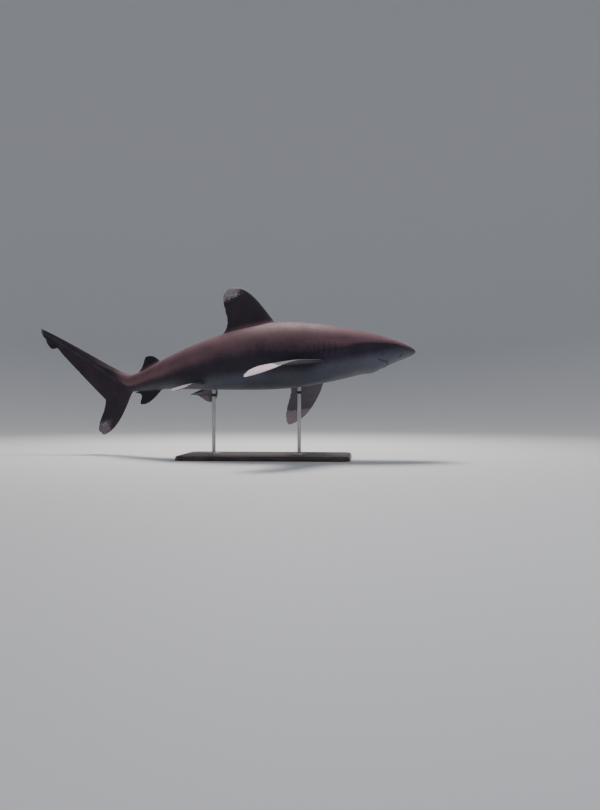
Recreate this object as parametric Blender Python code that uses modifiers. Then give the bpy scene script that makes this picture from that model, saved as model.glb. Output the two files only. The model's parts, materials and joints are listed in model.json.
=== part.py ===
"""A life-size display model of an oceanic whitetip shark, banked in a left turn on a two-rod stand.

Lengths on the animal are in per cent of its total length, as fish are measured. They are laid out
on a straight fish: x runs aft from the tip of the snout, y to its left and z up from its axis.
posed() bends that fish into the turn, banks it and sets it over the stand, in metres. The row frame
has the trunk along +X, the back up, and its origin at the centre of the base's underside.
"""

import math

import bmesh
import bpy
from mathutils import Matrix, Vector

# ------------------------------------------------------------------ driving dimensions
TOTAL_LENGTH = 2.40  # metres, tip of the snout to tip of the tail
PER_CENT = TOTAL_LENGTH / 100
PART_GAP = 0.0003 / PER_CENT  # the thin cut between neighbouring pieces
SWELL = 3 * PART_GAP
FIN_EDGE = 0.0010 / PER_CENT  # thickness left at a fin's trailing edge

# The pose: the trunk runs straight, the head and the tail swing to the fish's left, the tail fin
# trails back, and the whole fish leans into the turn. Each arc runs between two stations and turns
# by an angle.
PIVOT = 34.0  # the station over the centre of the stand
AXIS_HEIGHT = 0.54  # metres, the pivot over the floor
AHEAD = ((PIVOT, 23.0, 0.0), (23.0, -2.0, 21.5))
ASTERN = ((PIVOT, 37.0, 0.0), (37.0, 68.0, 43.0), (68.0, 80.0, -40.0), (80.0, 120.0, 0.0))
BANK, CLIMB = math.radians(-12), math.radians(-4.6)

# The body: how far its surface stands from its axis, at its deepest and at the tail stalk, the two
# powers that round the front, and the power of its fall towards the tail.
DEEPEST, STALK = 29.5, 74.0
BACK = {"peak": 8.1, "stalk": 2.4, "round": (1.36, 0.83), "fall": 1.09}
BELLY = {"peak": 7.0, "stalk": 1.9, "round": (1.81, 0.82), "fall": 0.7}
FLANK = {"peak": 6.55, "stalk": 1.6, "round": (2.20, 0.42), "fall": 1.0}
TAIL_RISE, TAIL_EASE = 0.70, 2.0  # slope of the backbone in the upper tail lobe, and its easing
TAIL_END = 92.5
JAW_DEPTH, JAW_STATION, JAW_SPREAD = 0.50, 9.6, 2.0
SNOUT_DROOP, SNOUT_EASE = 0.45, 2.5  # how far the axis dips at the snout's tip, and how soon

HEAD_END, TRUNK_END = 18.0, 46.0
SIDES = 28  # flats round a body section


def reach(side, x):
    """Distance from the axis to one side of the body at station x."""
    if x <= DEEPEST:
        a, b = side["round"]
        return side["peak"] * (1 - (1 - max(x, 0) / DEEPEST) ** a) ** b
    aft = min((x - DEEPEST) / (STALK - DEEPEST), 1)
    fall = ((1 + math.cos(math.pi * aft)) / 2) ** side["fall"]
    thin = max(0.0, (x - STALK) / (TAIL_END - STALK))
    return (side["stalk"] + (side["peak"] - side["stalk"]) * fall) * (1 - 0.9 * thin**0.6)


def axis_height(x):
    """Height of the body's axis, which dips at the snout and turns up into the upper tail lobe."""
    aft = min(max(x - PIVOT, 0.0) / 38, 1)
    past = x - STALK
    eased = max(past + TAIL_EASE, 0) ** 2 / (4 * TAIL_EASE) if past < TAIL_EASE else past
    dip = SNOUT_DROOP * math.exp(-max(x, 0) / SNOUT_EASE)
    return 0.5 * aft**1.5 + eased * TAIL_RISE - dip


SNOUT = Vector((0, 0, axis_height(0)))


def bulge(value, power):
    return math.copysign(abs(value) ** (2 / power), value)


def skin_point(x, angle, grow=0.0):
    """A point of the body's surface: angle runs from the left flank over the back."""
    flat = 2.0 + 0.7 * math.exp(-((x - 8) / 9) ** 2)
    low = math.sin(angle) < 0
    power = flat if low else 2.05
    height = reach(BELLY if low else BACK, x)
    if low:
        height += JAW_DEPTH * math.exp(-(((x - JAW_STATION) / JAW_SPREAD) ** 2))
    y = (reach(FLANK, x) + grow) * bulge(math.cos(angle), power)
    z = (height + grow) * bulge(math.sin(angle), power)
    return Vector((x, y, z + axis_height(x)))


def spine(x):
    """Where the backbone is at station x, and how far it has turned to the left."""
    way, arcs = (1, AHEAD) if x < PIVOT else (-1, ASTERN)
    at, heading = Vector((0, 0, 0)), 0.0
    for start, end, turn in arcs:
        run = min(max(way * (start - x), 0), abs(end - start))
        half = math.radians(turn) * run / abs(end - start) / 2
        chord = run * math.sin(half) / half if half else run
        at += chord * Vector((way * math.cos(heading + half), math.sin(heading + half), 0))
        heading += 2 * half
    return at, -way * heading


def posed(point):
    """A point of the straight fish, in per cent, moved into the pose, in metres."""
    x, y, z = point
    at, heading = spine(x)
    left = Vector((math.sin(heading), math.cos(heading), 0))
    bent = at + y * left + Vector((0, 0, z))
    turn = Matrix.Rotation(CLIMB, 3, "Y") @ Matrix.Rotation(BANK, 3, "X")
    return turn @ bent * PER_CENT + Vector((0, 0, AXIS_HEIGHT))


# ------------------------------------------------------------------ making solids
def collection(name):
    made = bpy.data.collections.new(name)
    bpy.context.scene.collection.children.link(made)
    return made


def finish_of(name, colour, roughness, metallic=0.0):
    made = bpy.data.materials.new(name)
    made.use_nodes = True
    shader = made.node_tree.nodes["Principled BSDF"]
    shader.inputs["Base Color"].default_value = (*colour, 1)
    shader.inputs["Roughness"].default_value = roughness
    shader.inputs["Metallic"].default_value = metallic
    return made


def loft(name, rings, finish, into, tip=None, tail=None):
    """A closed solid through rings of points, capped flat or drawn to a tip and a tail point."""
    made = bmesh.new()
    loops = [[made.verts.new(posed(p)) for p in ring] for ring in rings]
    count = len(loops[0])
    for here, there in zip(loops, loops[1:]):
        for k in range(count):
            after = (k + 1) % count
            made.faces.new((here[k], here[after], there[after], there[k]))
    for loop, point in ((loops[0], tip), (loops[-1], tail)):
        if point is None:
            made.faces.new(loop)
            continue
        apex = made.verts.new(posed(point))
        for k in range(count):
            made.faces.new((loop[k], loop[(k + 1) % count], apex))
    bmesh.ops.recalc_face_normals(made, faces=made.faces)
    mesh = bpy.data.meshes.new(name)
    made.to_mesh(mesh)
    made.free()
    mesh.materials.append(finish)
    mesh.shade_smooth()
    mesh.set_sharp_from_angle(angle=math.radians(40))
    obj = bpy.data.objects.new(name, mesh)
    into.objects.link(obj)
    return obj


def helper(obj):
    """Marks a cutter, which is no piece of the model."""
    obj.hide_render = True
    obj.display_type = "WIRE"
    return obj


def grown(cutter, into):
    """A copy of a cutter, larger by enough to leave the gap beside its thin rims too."""
    wide = cutter.copy()
    into.objects.link(wide)
    swell = wide.modifiers.new("gap", "DISPLACE")
    swell.strength, swell.mid_level = SWELL * PER_CENT, 0
    return wide


def boolean(obj, other, operation="DIFFERENCE"):
    cut = obj.modifiers.new(f"{operation.lower()} {other.name}", "BOOLEAN")
    cut.operation = operation
    cut.solver = "EXACT"
    cut.object = other


def stations(start, end, step):
    count = max(1, round((end - start) / step))
    return [start + (end - start) * i / count for i in range(count + 1)]


def body(name, places, finish, into, grow=0.0, tip=None, tail=None):
    """A length of the body through these stations."""
    rings = [
        [skin_point(x, 2 * math.pi * k / SIDES, grow) for k in range(SIDES)] for x in places
    ]
    return loft(name, rings, finish, into, tip, tail)


def bezier(controls, t):
    """A point on one cubic curve."""
    a, b, c, d = (Vector(p) for p in controls)
    s = 1 - t
    return s**3 * a + 3 * s * s * t * b + 3 * s * t * t * c + t**3 * d


def edge_point(curves, t):
    """A point on a fin's edge, which is one or more cubics end to end, each ending at its own share."""
    start = 0.0
    for end, controls in curves:
        if t <= end or end >= 1:
            return bezier(controls, (t - start) / (end - start))
        start = end
    raise ValueError("the last curve has to end at 1")


def foil(v):
    """Half thickness across a fin, 1 at its thickest: round in front and fine behind."""
    return 10 * (0.2969 * math.sqrt(v) - 0.126 * v - 0.3516 * v**2 + 0.2843 * v**3 - 0.1015 * v**4)


# Each fin is laid out in its own plane as (aft, out) from the front of its base. The leading and
# the trailing edge run from the base to the tip, where they meet. lift is the angle at which it
# leaves the body, from level and outwards, and droop is how far it has turned down at its tip. It
# is straight for the share of its span that straight gives, and bends evenly from there.
PECTORAL = {
    "slope": -0.048, "lift": -12.2, "droop": 24.5, "straight": 0.45, "thick": 0.6, "span": 21.8,
    "lead": [(1, ((-1.5, -1.6), (1.6, 7.5), (4.5, 20.6), (12.2, 21.8)))],
    "trail": [(1, ((10.0, 1.3), (5.4, 4.6), (14.6, 19.2), (12.2, 21.8)))],
}
PELVIC = {
    "slope": -0.04, "lift": -3, "droop": 46, "straight": 0.3, "thick": 0.45, "span": 5.4,
    "lead": [(1, ((-0.3, -1.2), (1.0, 2.6), (2.2, 5.5), (5.0, 5.4)))],
    "trail": [(1, ((8.6, 0.9), (6.4, 1.9), (7.6, 5.2), (5.0, 5.4)))],
}
FINS = {
    "fin_dorsal_first": {
        "root": (31.2, 0, 8.0), "slope": 0, "lift": 90, "droop": 0, "thick": 1.75, "span": 9.9,
        "lead": [(1, ((-0.6, -0.9), (3.4, 4.9), (5.6, 10.3), (10.3, 9.85)))],
        "trail": [(1, ((12.9, -0.9), (8.8, 1.6), (15.0, 8.6), (10.3, 9.85)))],
    },
    "fin_dorsal_second": {
        "root": (61.6, 0, 3.6), "slope": 0, "lift": 90, "droop": 0, "thick": 0.75, "span": 2.7,
        "lead": [(1, ((-0.5, -0.6), (1.4, 1.4), (3.2, 2.7), (6.0, 2.7)))],
        "trail": [(1, ((9.7, -0.5), (6.6, 0.7), (7.4, 2.6), (6.0, 2.7)))],
    },
    "fin_anal": {
        "root": (61.4, 0, -3.3), "slope": 0, "lift": -90, "droop": 0, "thick": 0.75, "span": 3.0,
        "lead": [(1, ((-0.5, -0.6), (2.2, 1.2), (5.2, 2.8), (8.9, 1.75)))],
        "trail": [(1, ((11.0, -1.5), (6.6, -0.5), (10.0, 0.9), (8.9, 1.75)))],
    },
    "fin_pectoral_left": {"root": (21.4, 5.4, -2.9), "rake": -1.3, **PECTORAL},
    "fin_pectoral_right": {"root": (21.4, -5.4, -2.9), "rake": 1.5, **PECTORAL},
    "fin_pelvic_left": {"root": (46.8, 2.3, -4.75), **PELVIC},
    "fin_pelvic_right": {"root": (46.8, -2.3, -4.75), **PELVIC},
    "fin_tail_upper": {
        "root": (STALK, 0, 0), "slope": 0, "lift": 90, "droop": 0, "thick": 1.3, "span": 18.3,
        "lead": [(1, ((-1.5, 2.4), (6.5, 6.2), (14.3, 12.6), (24.4, 18.2)))],
        "trail": [
            (0.70, ((6.4, -2.9), (10.5, 1.6), (15.5, 7.2), (20.0, 12.6))),
            (0.82, ((20.0, 12.6), (20.5, 12.1), (21.3, 12.1), (21.8, 12.9))),
            (1.00, ((21.8, 12.9), (22.6, 14.6), (23.7, 16.6), (24.4, 18.2))),
        ],
    },
    "tail_lobe_lower": {
        "root": (STALK, 0, 0), "slope": 0, "lift": 90, "droop": 0, "thick": 1.0, "span": -11.4,
        "lead": [(1, ((-1.8, 0.8), (1.4, -5.2), (3.6, -10.2), (7.3, -11.3)))],
        "trail": [(1, ((7.6, 1.2), (4.6, -5.4), (11.6, -9.2), (7.3, -11.3)))],
    },
}


def fin_point(fin, t, v, side):
    """A point of a fin: t runs from base to tip, v from the leading to the trailing edge."""
    aft, out = edge_point(fin["lead"], t).lerp(edge_point(fin["trail"], t), v)
    aft += fin.get("rake", 0) * out / fin["span"]
    x0, y0, z0 = fin["root"]
    lift, straight = math.radians(fin["lift"]), fin.get("straight", 0) * fin["span"]
    radius = (fin["span"] - straight) / (math.radians(fin["droop"]) or 1e-6)
    turned = lift - max(out - straight, 0) / radius
    wide = min(out, straight) * math.cos(lift) + radius * (math.sin(lift) - math.sin(turned))
    high = min(out, straight) * math.sin(lift) + radius * (math.cos(turned) - math.cos(lift))
    chord = (edge_point(fin["trail"], t) - edge_point(fin["lead"], t)).length
    thick = fin["thick"] * (1 - t) ** 0.8 + 0.03 * min(chord, 3)
    off = side * (FIN_EDGE / 2 + foil(v) * thick / 2)
    outward = -1 if y0 < 0 else 1
    y = y0 + outward * (wide - off * math.sin(turned))
    return Vector((x0 + aft, y, z0 + fin["slope"] * aft + high + off * math.cos(turned)))


def blade(name, finish, into, spans=10, chords=9):
    """One fin as a closed solid."""
    fin = FINS[name]
    across = [(1 + math.cos(math.pi * k / chords)) / 2 for k in range(chords + 1)]
    rings = []
    for j in range(spans):
        t = 1 - (1 - j / spans) ** 1.35
        top = [fin_point(fin, t, v, 1) for v in across]
        under = [fin_point(fin, t, v, -1) for v in reversed(across)]
        rings.append(top + under)
    end = fin_point(fin, 1.0, 1.0, 0)
    return loft(name, rings, finish, into, tail=end)


# ------------------------------------------------------------------ the pieces
MOUTH_FRONT, MOUTH_LENGTH, MOUTH_HALF = 6.8, 5.0, 4.6
JAW_TOP, JAW_SLOPE, JAW_REAR = -2.7, 0.12, 14.0
EYE_STATION, EYE_ANGLE, EYE_RADIUS, EYE_SUNK = 8.0, math.radians(-2), 0.56, 0.38

BASE_LENGTH, BASE_WIDTH, BASE_THICK = 0.92, 0.46, 0.024
BASE_ROUND, BASE_EASE = 0.05, 0.004
ROD_RADIUS, ROD_STATIONS, ROD_INTO = 0.010, (27.0, 47.0), 0.03
FLANGE_RADIUS, FLANGE_THICK = 0.036, 0.008


def tail_stations():
    ends = [STALK - 0.5, STALK, STALK + 1.2, STALK + 2.6, STALK + 4.4, STALK + 6.8, STALK + 9.8]
    return ends + [STALK + 13.2, STALK + 16.4, TAIL_END - 0.4]


def body_stations():
    snout = [0.12, 0.5, 1.1, 2.0, 3.1, 4.4, 5.8, 7.2, 8.6, 10.0, 11.6, 13.4, 15.6]
    trunk = stations(HEAD_END, TRUNK_END, 2.0)
    stalk = stations(TRUNK_END, STALK - 0.5, 1.4)
    return snout, trunk, stalk[1:]


def eye_centre(side):
    angle = EYE_ANGLE if side > 0 else math.pi - EYE_ANGLE
    on_skin = skin_point(EYE_STATION, angle)
    return on_skin - Vector((0, side * EYE_SUNK, 0))


def sphere(name, centre, radius, finish, into):
    made = bmesh.new()
    bmesh.ops.create_uvsphere(made, u_segments=16, v_segments=10, radius=radius * PER_CENT)
    mesh = bpy.data.meshes.new(name)
    made.to_mesh(mesh)
    made.free()
    mesh.materials.append(finish)
    mesh.shade_smooth()
    obj = bpy.data.objects.new(name, mesh)
    obj.location = posed(centre)
    into.objects.link(obj)
    return obj


def jaw_block(name, finish, into, grow=0.0):
    """The block under the mouth's arch, from which the lower jaw is taken."""
    half = MOUTH_HALF + grow
    arch = []
    for k in range(17):
        y = half * (k / 8 - 1)
        arch.append((MOUTH_FRONT - grow + MOUTH_LENGTH * abs(y / half) ** 2.2, y))
    outline = arch + [(JAW_REAR + grow, half), (JAW_REAR + grow, -half)]
    below = [(x, y, -12.0) for x, y in outline]
    above = [(x, y, JAW_TOP + JAW_SLOPE * (x - MOUTH_FRONT) + grow) for x, y in outline]
    return loft(name, [below, above], finish, into)


def box(name, low, high, finish, into):
    """A posed block between two corners of the straight fish."""
    rings = [
        [(x, low[1], low[2]), (x, high[1], low[2]), (x, high[1], high[2]), (x, low[1], high[2])]
        for x in (low[0], high[0])
    ]
    return loft(name, rings, finish, into)


def make_body(finish, parts, cutters):
    snout, trunk, stalk = body_stations()
    half = PART_GAP / 2
    head = body("head", snout + [HEAD_END - half], finish, parts, tip=SNOUT)
    block = helper(jaw_block("cut_jaw", finish, cutters))
    boolean(head, helper(jaw_block("cut_jaw_wide", finish, cutters, SWELL)))
    jaw = body("lower_jaw", snout + [HEAD_END - half], finish, parts, tip=SNOUT)
    boolean(jaw, block, "INTERSECT")
    body("trunk", [HEAD_END + half] + trunk[1:-1] + [TRUNK_END - half], finish, parts)
    body("tail_stalk", [TRUNK_END + half] + stalk[:-1] + [STALK - 0.5 - half], finish, parts)
    return head


def make_upper_lobe(finish, parts, cutters):
    """The end of the backbone with the upper lobe of the tail fin on it."""
    start = STALK - 0.5 + PART_GAP / 2
    places = [start] + tail_stations()[1:]
    lobe = body("tail_lobe_upper", places, finish, parts, tail=(TAIL_END, 0, axis_height(TAIL_END)))
    sheet = helper(blade("fin_tail_upper", finish, cutters, 14, 9))
    boolean(lobe, sheet, "UNION")
    boolean(lobe, helper(box("cut_tail_front", (50, -9, -20), (start, 9, 20), finish, cutters)))
    return sheet


def make_fins(upper_lobe, finish, parts, cutters):
    snout, trunk, stalk = body_stations()
    places = snout + trunk + stalk + tail_stations()[1:]
    whole = helper(
        body("cut_body", places, finish, cutters, PART_GAP, SNOUT - Vector((PART_GAP, 0, 0)),
             (TAIL_END, 0, axis_height(TAIL_END)))
    )
    for name in FINS:
        if name == "fin_tail_upper":
            continue
        large = FINS[name]["thick"] >= 1
        fin = blade(name, finish, parts, 12 if large else 9, 9 if large else 7)
        boolean(fin, whole)
        if name == "tail_lobe_lower":
            boolean(fin, grown(upper_lobe, cutters))
    return whole


def make_eyes(head, finish, parts, cutters):
    for side, name in ((1, "eye_left"), (-1, "eye_right")):
        centre = eye_centre(side)
        sphere(name, centre, EYE_RADIUS, finish, parts)
        socket = sphere(f"cut_{name}", centre, EYE_RADIUS + 2 * PART_GAP, finish, cutters)
        boolean(head, helper(socket))


def settled(obj, name, finish, into):
    """A new primitive, given its name and finish and moved into a collection."""
    obj.name = obj.data.name = name
    obj.data.materials.append(finish)
    for holder in list(obj.users_collection):
        holder.objects.unlink(obj)
    into.objects.link(obj)
    return obj


def cylinder(name, x, y, low, high, radius, segments, finish, into):
    bpy.ops.mesh.primitive_cylinder_add(
        vertices=segments, radius=radius, depth=high - low, location=(x, y, (low + high) / 2)
    )
    return settled(bpy.context.object, name, finish, into)


def base_board(name, finish, into):
    """The board, with round corners and an eased rim."""
    bpy.ops.mesh.primitive_cube_add(size=1, location=(0, 0, BASE_THICK / 2))
    board = settled(bpy.context.object, name, finish, into)
    board.scale = (BASE_LENGTH, BASE_WIDTH, BASE_THICK)
    bpy.ops.object.transform_apply(location=False, rotation=False, scale=True)
    shape = bmesh.new()
    shape.from_mesh(board.data)
    upright = [e for e in shape.edges if abs(e.verts[0].co.z - e.verts[1].co.z) > BASE_THICK / 2]
    bmesh.ops.bevel(
        shape, geom=upright, offset=BASE_ROUND, segments=8, profile=0.5, affect="EDGES"
    )
    shape.to_mesh(board.data)
    shape.free()
    rim = board.modifiers.new("eased rim", "BEVEL")
    rim.width, rim.segments, rim.limit_method = BASE_EASE, 1, "ANGLE"
    return board


def make_stand(wood, steel, parts, whole):
    base_board("stand_base", wood, parts)
    for station, end in zip(ROD_STATIONS, ("front", "rear")):
        under = [posed(skin_point(station, math.radians(a))) for a in range(-130, -49, 5)]
        lowest = min(under, key=lambda p: p.z)
        floor = BASE_THICK + PART_GAP * PER_CENT
        cylinder(f"stand_flange_{end}", lowest.x, lowest.y, floor, floor + FLANGE_THICK,
                 FLANGE_RADIUS, 32, steel, parts)
        rod_foot = floor + FLANGE_THICK + PART_GAP * PER_CENT
        rod = cylinder(f"stand_rod_{end}", lowest.x, lowest.y, rod_foot, lowest.z + ROD_INTO,
                       ROD_RADIUS, 24, steel, parts)
        boolean(rod, whole)


def main():
    for obj in list(bpy.data.objects):
        bpy.data.objects.remove(obj)
    parts, cutters = collection("oceanic whitetip shark"), collection("cutters")
    skin = finish_of("skin", (0.23, 0.19, 0.18), 0.45)
    eye = finish_of("eye", (0.02, 0.02, 0.02), 0.08)
    wood = finish_of("stand board", (0.05, 0.04, 0.035), 0.35)
    steel = finish_of("stand steel", (0.62, 0.62, 0.60), 0.3, 1.0)
    head = make_body(skin, parts, cutters)
    upper_lobe = make_upper_lobe(skin, parts, cutters)
    whole = make_fins(upper_lobe, skin, parts, cutters)
    make_eyes(head, eye, parts, cutters)
    make_stand(wood, steel, parts, whole)


main()
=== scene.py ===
"""Looks of a life-size display model of an oceanic whitetip shark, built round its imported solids.

It is laid out as a Blender add-on and run as a script. Lengths on the animal are in per cent of its
total length, on a straight fish: x runs aft from the tip of the snout, y to its left and z up from
its axis. posed() bends that fish into its turn, banks it and sets it over the stand, in metres.
"""

import json
import math

import bmesh
import bpy
import numpy as np
from bpy.props import FloatProperty, FloatVectorProperty, IntProperty, PointerProperty
from mathutils import Matrix, Vector
from mathutils.kdtree import KDTree

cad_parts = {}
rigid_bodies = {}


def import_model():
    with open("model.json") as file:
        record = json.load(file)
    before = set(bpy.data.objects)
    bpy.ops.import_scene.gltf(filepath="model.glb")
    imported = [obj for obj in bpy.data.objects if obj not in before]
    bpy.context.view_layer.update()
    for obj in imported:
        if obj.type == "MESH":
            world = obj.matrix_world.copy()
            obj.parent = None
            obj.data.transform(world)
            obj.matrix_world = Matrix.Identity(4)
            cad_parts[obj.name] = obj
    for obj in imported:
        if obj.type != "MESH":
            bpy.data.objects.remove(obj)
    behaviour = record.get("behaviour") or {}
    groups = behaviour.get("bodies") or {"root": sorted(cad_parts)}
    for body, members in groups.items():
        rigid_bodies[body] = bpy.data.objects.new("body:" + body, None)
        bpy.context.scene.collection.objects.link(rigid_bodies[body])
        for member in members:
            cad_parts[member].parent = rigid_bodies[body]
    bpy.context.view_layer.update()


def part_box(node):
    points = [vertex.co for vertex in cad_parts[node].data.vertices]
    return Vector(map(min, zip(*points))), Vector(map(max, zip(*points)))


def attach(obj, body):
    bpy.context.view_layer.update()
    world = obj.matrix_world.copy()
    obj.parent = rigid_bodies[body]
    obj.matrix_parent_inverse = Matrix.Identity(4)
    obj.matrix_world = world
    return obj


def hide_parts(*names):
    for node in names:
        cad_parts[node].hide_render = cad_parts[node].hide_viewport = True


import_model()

bl_info = {
    "name": "Oceanic whitetip display model",
    "version": (1, 0, 0),
    "blender": (4, 5, 0),
    "location": "3D View > Sidebar > Shark",
    "description": "Skin, eyes, pores, stand and studio of a life-size shark model",
    "category": "Object",
}

# ------------------------------------------------------------------ the fish, as its solids have it
TOTAL_LENGTH = 2.40  # metres, tip of the snout to tip of the tail
PER_CENT = TOTAL_LENGTH / 100
MM = 0.001 / PER_CENT  # a millimetre, in per cent of the length

PIVOT = 34.0  # the station over the centre of the stand
AXIS_HEIGHT = 0.54  # metres, the pivot over the floor
AHEAD = ((PIVOT, 23.0, 0.0), (23.0, -2.0, 21.5))
ASTERN = ((PIVOT, 37.0, 0.0), (37.0, 68.0, 43.0), (68.0, 80.0, -40.0), (80.0, 120.0, 0.0))
BANK, CLIMB = math.radians(-12), math.radians(-4.6)

DEEPEST, STALK = 29.5, 74.0
BACK = {"peak": 8.1, "stalk": 2.4, "round": (1.36, 0.83), "fall": 1.09}
BELLY = {"peak": 7.0, "stalk": 1.9, "round": (1.81, 0.82), "fall": 0.7}
FLANK = {"peak": 6.55, "stalk": 1.6, "round": (2.20, 0.42), "fall": 1.0}
TAIL_RISE, TAIL_EASE, TAIL_END = 0.70, 2.0, 92.5
JAW_DEPTH, JAW_STATION, JAW_SPREAD = 0.50, 9.6, 2.0
SNOUT_DROOP, SNOUT_EASE = 0.45, 2.5
SNOUT_BLUNT = 0.2  # radius of the snout's rim in side view

FIN_EDGE = 1.0 * MM  # thickness left at a fin's trailing edge

# Each fin is laid out in its own plane as (aft, out) from the front of its base. Its leading and
# its trailing edge run from the base to the tip. lift is the angle at which it leaves the body,
# from level and outwards, and droop is how far it has turned down at its tip. It is straight for
# the share of its span that straight gives. nicks is how many small tears its trailing edge has.
PECTORAL = {
    "slope": -0.048, "lift": -12.2, "droop": 24.5, "straight": 0.45, "thick": 0.6, "span": 21.8,
    "nicks": 7,
    "lead": [(1, ((-1.5, -1.6), (1.6, 7.5), (4.5, 20.6), (12.2, 21.8)))],
    "trail": [(1, ((10.0, 1.3), (5.4, 4.6), (14.6, 19.2), (12.2, 21.8)))],
}
PELVIC = {
    "slope": -0.04, "lift": -3, "droop": 46, "straight": 0.3, "thick": 0.45, "span": 5.4,
    "nicks": 3,
    "lead": [(1, ((-0.3, -1.2), (1.0, 2.6), (2.2, 5.5), (5.0, 5.4)))],
    "trail": [(1, ((8.6, 0.9), (6.4, 1.9), (7.6, 5.2), (5.0, 5.4)))],
}
MEDIAN = {"slope": 0, "lift": 90, "droop": 0}
FINS = {
    "dorsal_first": {
        **MEDIAN, "root": (31.2, 0, 8.0), "thick": 1.75, "span": 9.9, "nicks": 8,
        "lead": [(1, ((-0.6, -0.9), (3.4, 4.9), (5.6, 10.3), (10.3, 9.85)))],
        "trail": [
            (0.16, ((9.3, -1.7), (9.7, -0.55), (11.0, -0.75), (12.8, -1.06))),
            (1.00, ((12.8, -1.06), (8.9, 1.6), (15.0, 8.6), (10.3, 9.85))),
        ],
    },
    "dorsal_second": {
        **MEDIAN, "root": (61.6, 0, 3.6), "thick": 0.75, "span": 2.7, "nicks": 2,
        "lead": [(1, ((-0.5, -0.6), (1.4, 1.4), (3.2, 2.7), (6.0, 2.7)))],
        "trail": [
            (0.30, ((4.6, -0.9), (5.0, -0.25), (7.0, -0.38), (9.6, -0.52))),
            (1.00, ((9.6, -0.52), (6.6, 0.7), (7.4, 2.6), (6.0, 2.7))),
        ],
    },
    "anal": {
        **MEDIAN, "lift": -90, "root": (61.4, 0, -3.3), "thick": 0.75, "span": 3.0, "nicks": 1,
        "lead": [(1, ((-0.5, -0.6), (2.2, 1.2), (5.2, 2.8), (8.9, 1.75)))],
        "trail": [
            (0.30, ((7.2, -1.9), (8.0, -1.7), (9.6, -1.6), (11.0, -1.5))),
            (1.00, ((11.0, -1.5), (6.3, -0.6), (9.7, 0.9), (8.9, 1.75))),
        ],
    },
    "pectoral_left": {"root": (21.4, 5.4, -2.9), "rake": -1.3, **PECTORAL},
    "pectoral_right": {"root": (21.4, -5.4, -2.9), "rake": 1.5, **PECTORAL},
    "pelvic_left": {"root": (46.8, 2.3, -4.75), **PELVIC},
    "pelvic_right": {"root": (46.8, -2.3, -4.75), **PELVIC},
    "tail_upper": {
        **MEDIAN, "root": (STALK, 0, 0), "thick": 1.3, "span": 18.3, "nicks": 6,
        "lead": [(1, ((-1.5, 2.4), (6.5, 6.2), (14.3, 12.6), (24.4, 18.2)))],
        "trail": [
            (0.70, ((6.4, -2.9), (10.5, 1.6), (15.5, 7.2), (20.0, 12.6))),
            (0.82, ((20.0, 12.6), (20.5, 12.1), (21.3, 12.1), (21.8, 12.9))),
            (1.00, ((21.8, 12.9), (22.8, 14.3), (24.0, 16.3), (24.4, 18.2))),
        ],
    },
    "tail_lower": {
        **MEDIAN, "root": (STALK, 0, 0), "thick": 1.0, "span": -11.4, "nicks": 5,
        "lead": [(1, ((-1.8, 0.8), (1.4, -5.2), (3.6, -10.2), (7.3, -11.3)))],
        "trail": [(1, ((7.6, 1.2), (4.6, -5.4), (11.6, -9.2), (7.3, -11.3)))],
    },
}
FLESH_NODES = (
    "head", "lower_jaw", "trunk", "tail_stalk", "tail_lobe_upper", "tail_lobe_lower",
    "fin_dorsal_first", "fin_dorsal_second", "fin_anal", "fin_pectoral_left",
    "fin_pectoral_right", "fin_pelvic_left", "fin_pelvic_right",
)

# ------------------------------------------------------------------ the fine forms of the head
EYE_STATION, EYE_ANGLE, EYE_RADIUS, EYE_SUNK = 8.0, math.radians(-2), 0.56, 0.43
EYE_GAP = 0.4 * MM  # between the eyeball and its socket
EYE_PATCH = 0.85  # radius of the skin that is laid in rings round an eye
LID_RINGS, SOCKET_RINGS = 7, 8  # rings over the edge of the lids, and down into the socket
LID_BAND = 0.6 * MM  # width of the ring of faces next to the edge of the lids
MEMBRANE, MEMBRANE_ANGLE = 2.6 * MM, math.radians(-52)  # the third lid, at the lower front
MOUTH_FRONT, MOUTH_LENGTH, MOUTH_HALF, MOUTH_CURVE = 6.9, 3.2, 4.7, 3.2
LIP_SLIT = 1.5  # millimetres, half width of the slit between the lips
UPPER_LIP, LOWER_LIP = (2.3, -4.6, 4.2), (2.0, 6.0, 3.8)  # height, place aft of the slit, width
CHIN_DROP, CHIN_FADE = 5.2, 12.0  # millimetres, step down behind the slit, and how far it fades
FURROW_DEPTH, FURROW_WIDTH = 2.2, 1.2  # millimetres
NOSTRIL = {"x": 4.3, "y": 2.8, "turn": math.radians(35), "half": 0.5}
SOFT_FORMS = (  # millimetres out from the skin; station, half length; height, half height
    (2.6, 12.6, 2.2, -1.2, 1.8),  # cheek
    (-1.4, 16.3, 1.3, -0.4, 2.4),  # hollow ahead of the gills
    (1.7, 7.6, 1.9, 1.15, 0.45),  # brow
    (-1.2, 6.3, 1.2, -0.5, 0.7),  # hollow ahead of the eye
)
LID_FOLDS = (  # depth all round, depth added below, distance from the opening, width: millimetres
    (0.5, 0.9, 4.2, 1.0), (0.0, 0.5, 7.4, 0.9),
)
GILLS = (  # station, lowest and highest point of each slit, from the axis
    (18.4, -2.5, 1.25), (19.6, -2.45, 1.35), (20.75, -2.1, 1.35), (21.75, -1.7, 1.2),
    (22.6, -1.4, 0.95),
)
GILL_BOW, GILL_LEAN = 0.22, 0.06
PAIRED_END = 58.0  # station aft of the pelvic fins
PIT_STATION = 72.9  # the notch ahead of the tail fin
PIT_DEPTHS = ((True, 6.0), (False, 3.5))  # over the stalk and under it, in millimetres
RIDGE_HEIGHT, RIDGE_WIDTH = 2.4, 4.5  # millimetres, the ridge along the back between the fins

SIDES = 144  # points round a body ring
LEAST_REACH = 0.3  # stands in for the body's half width or height where it runs out to nothing
LIT_PLACE = (0.0, 0.0, 0.5)  # metres, what both lights look at


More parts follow.
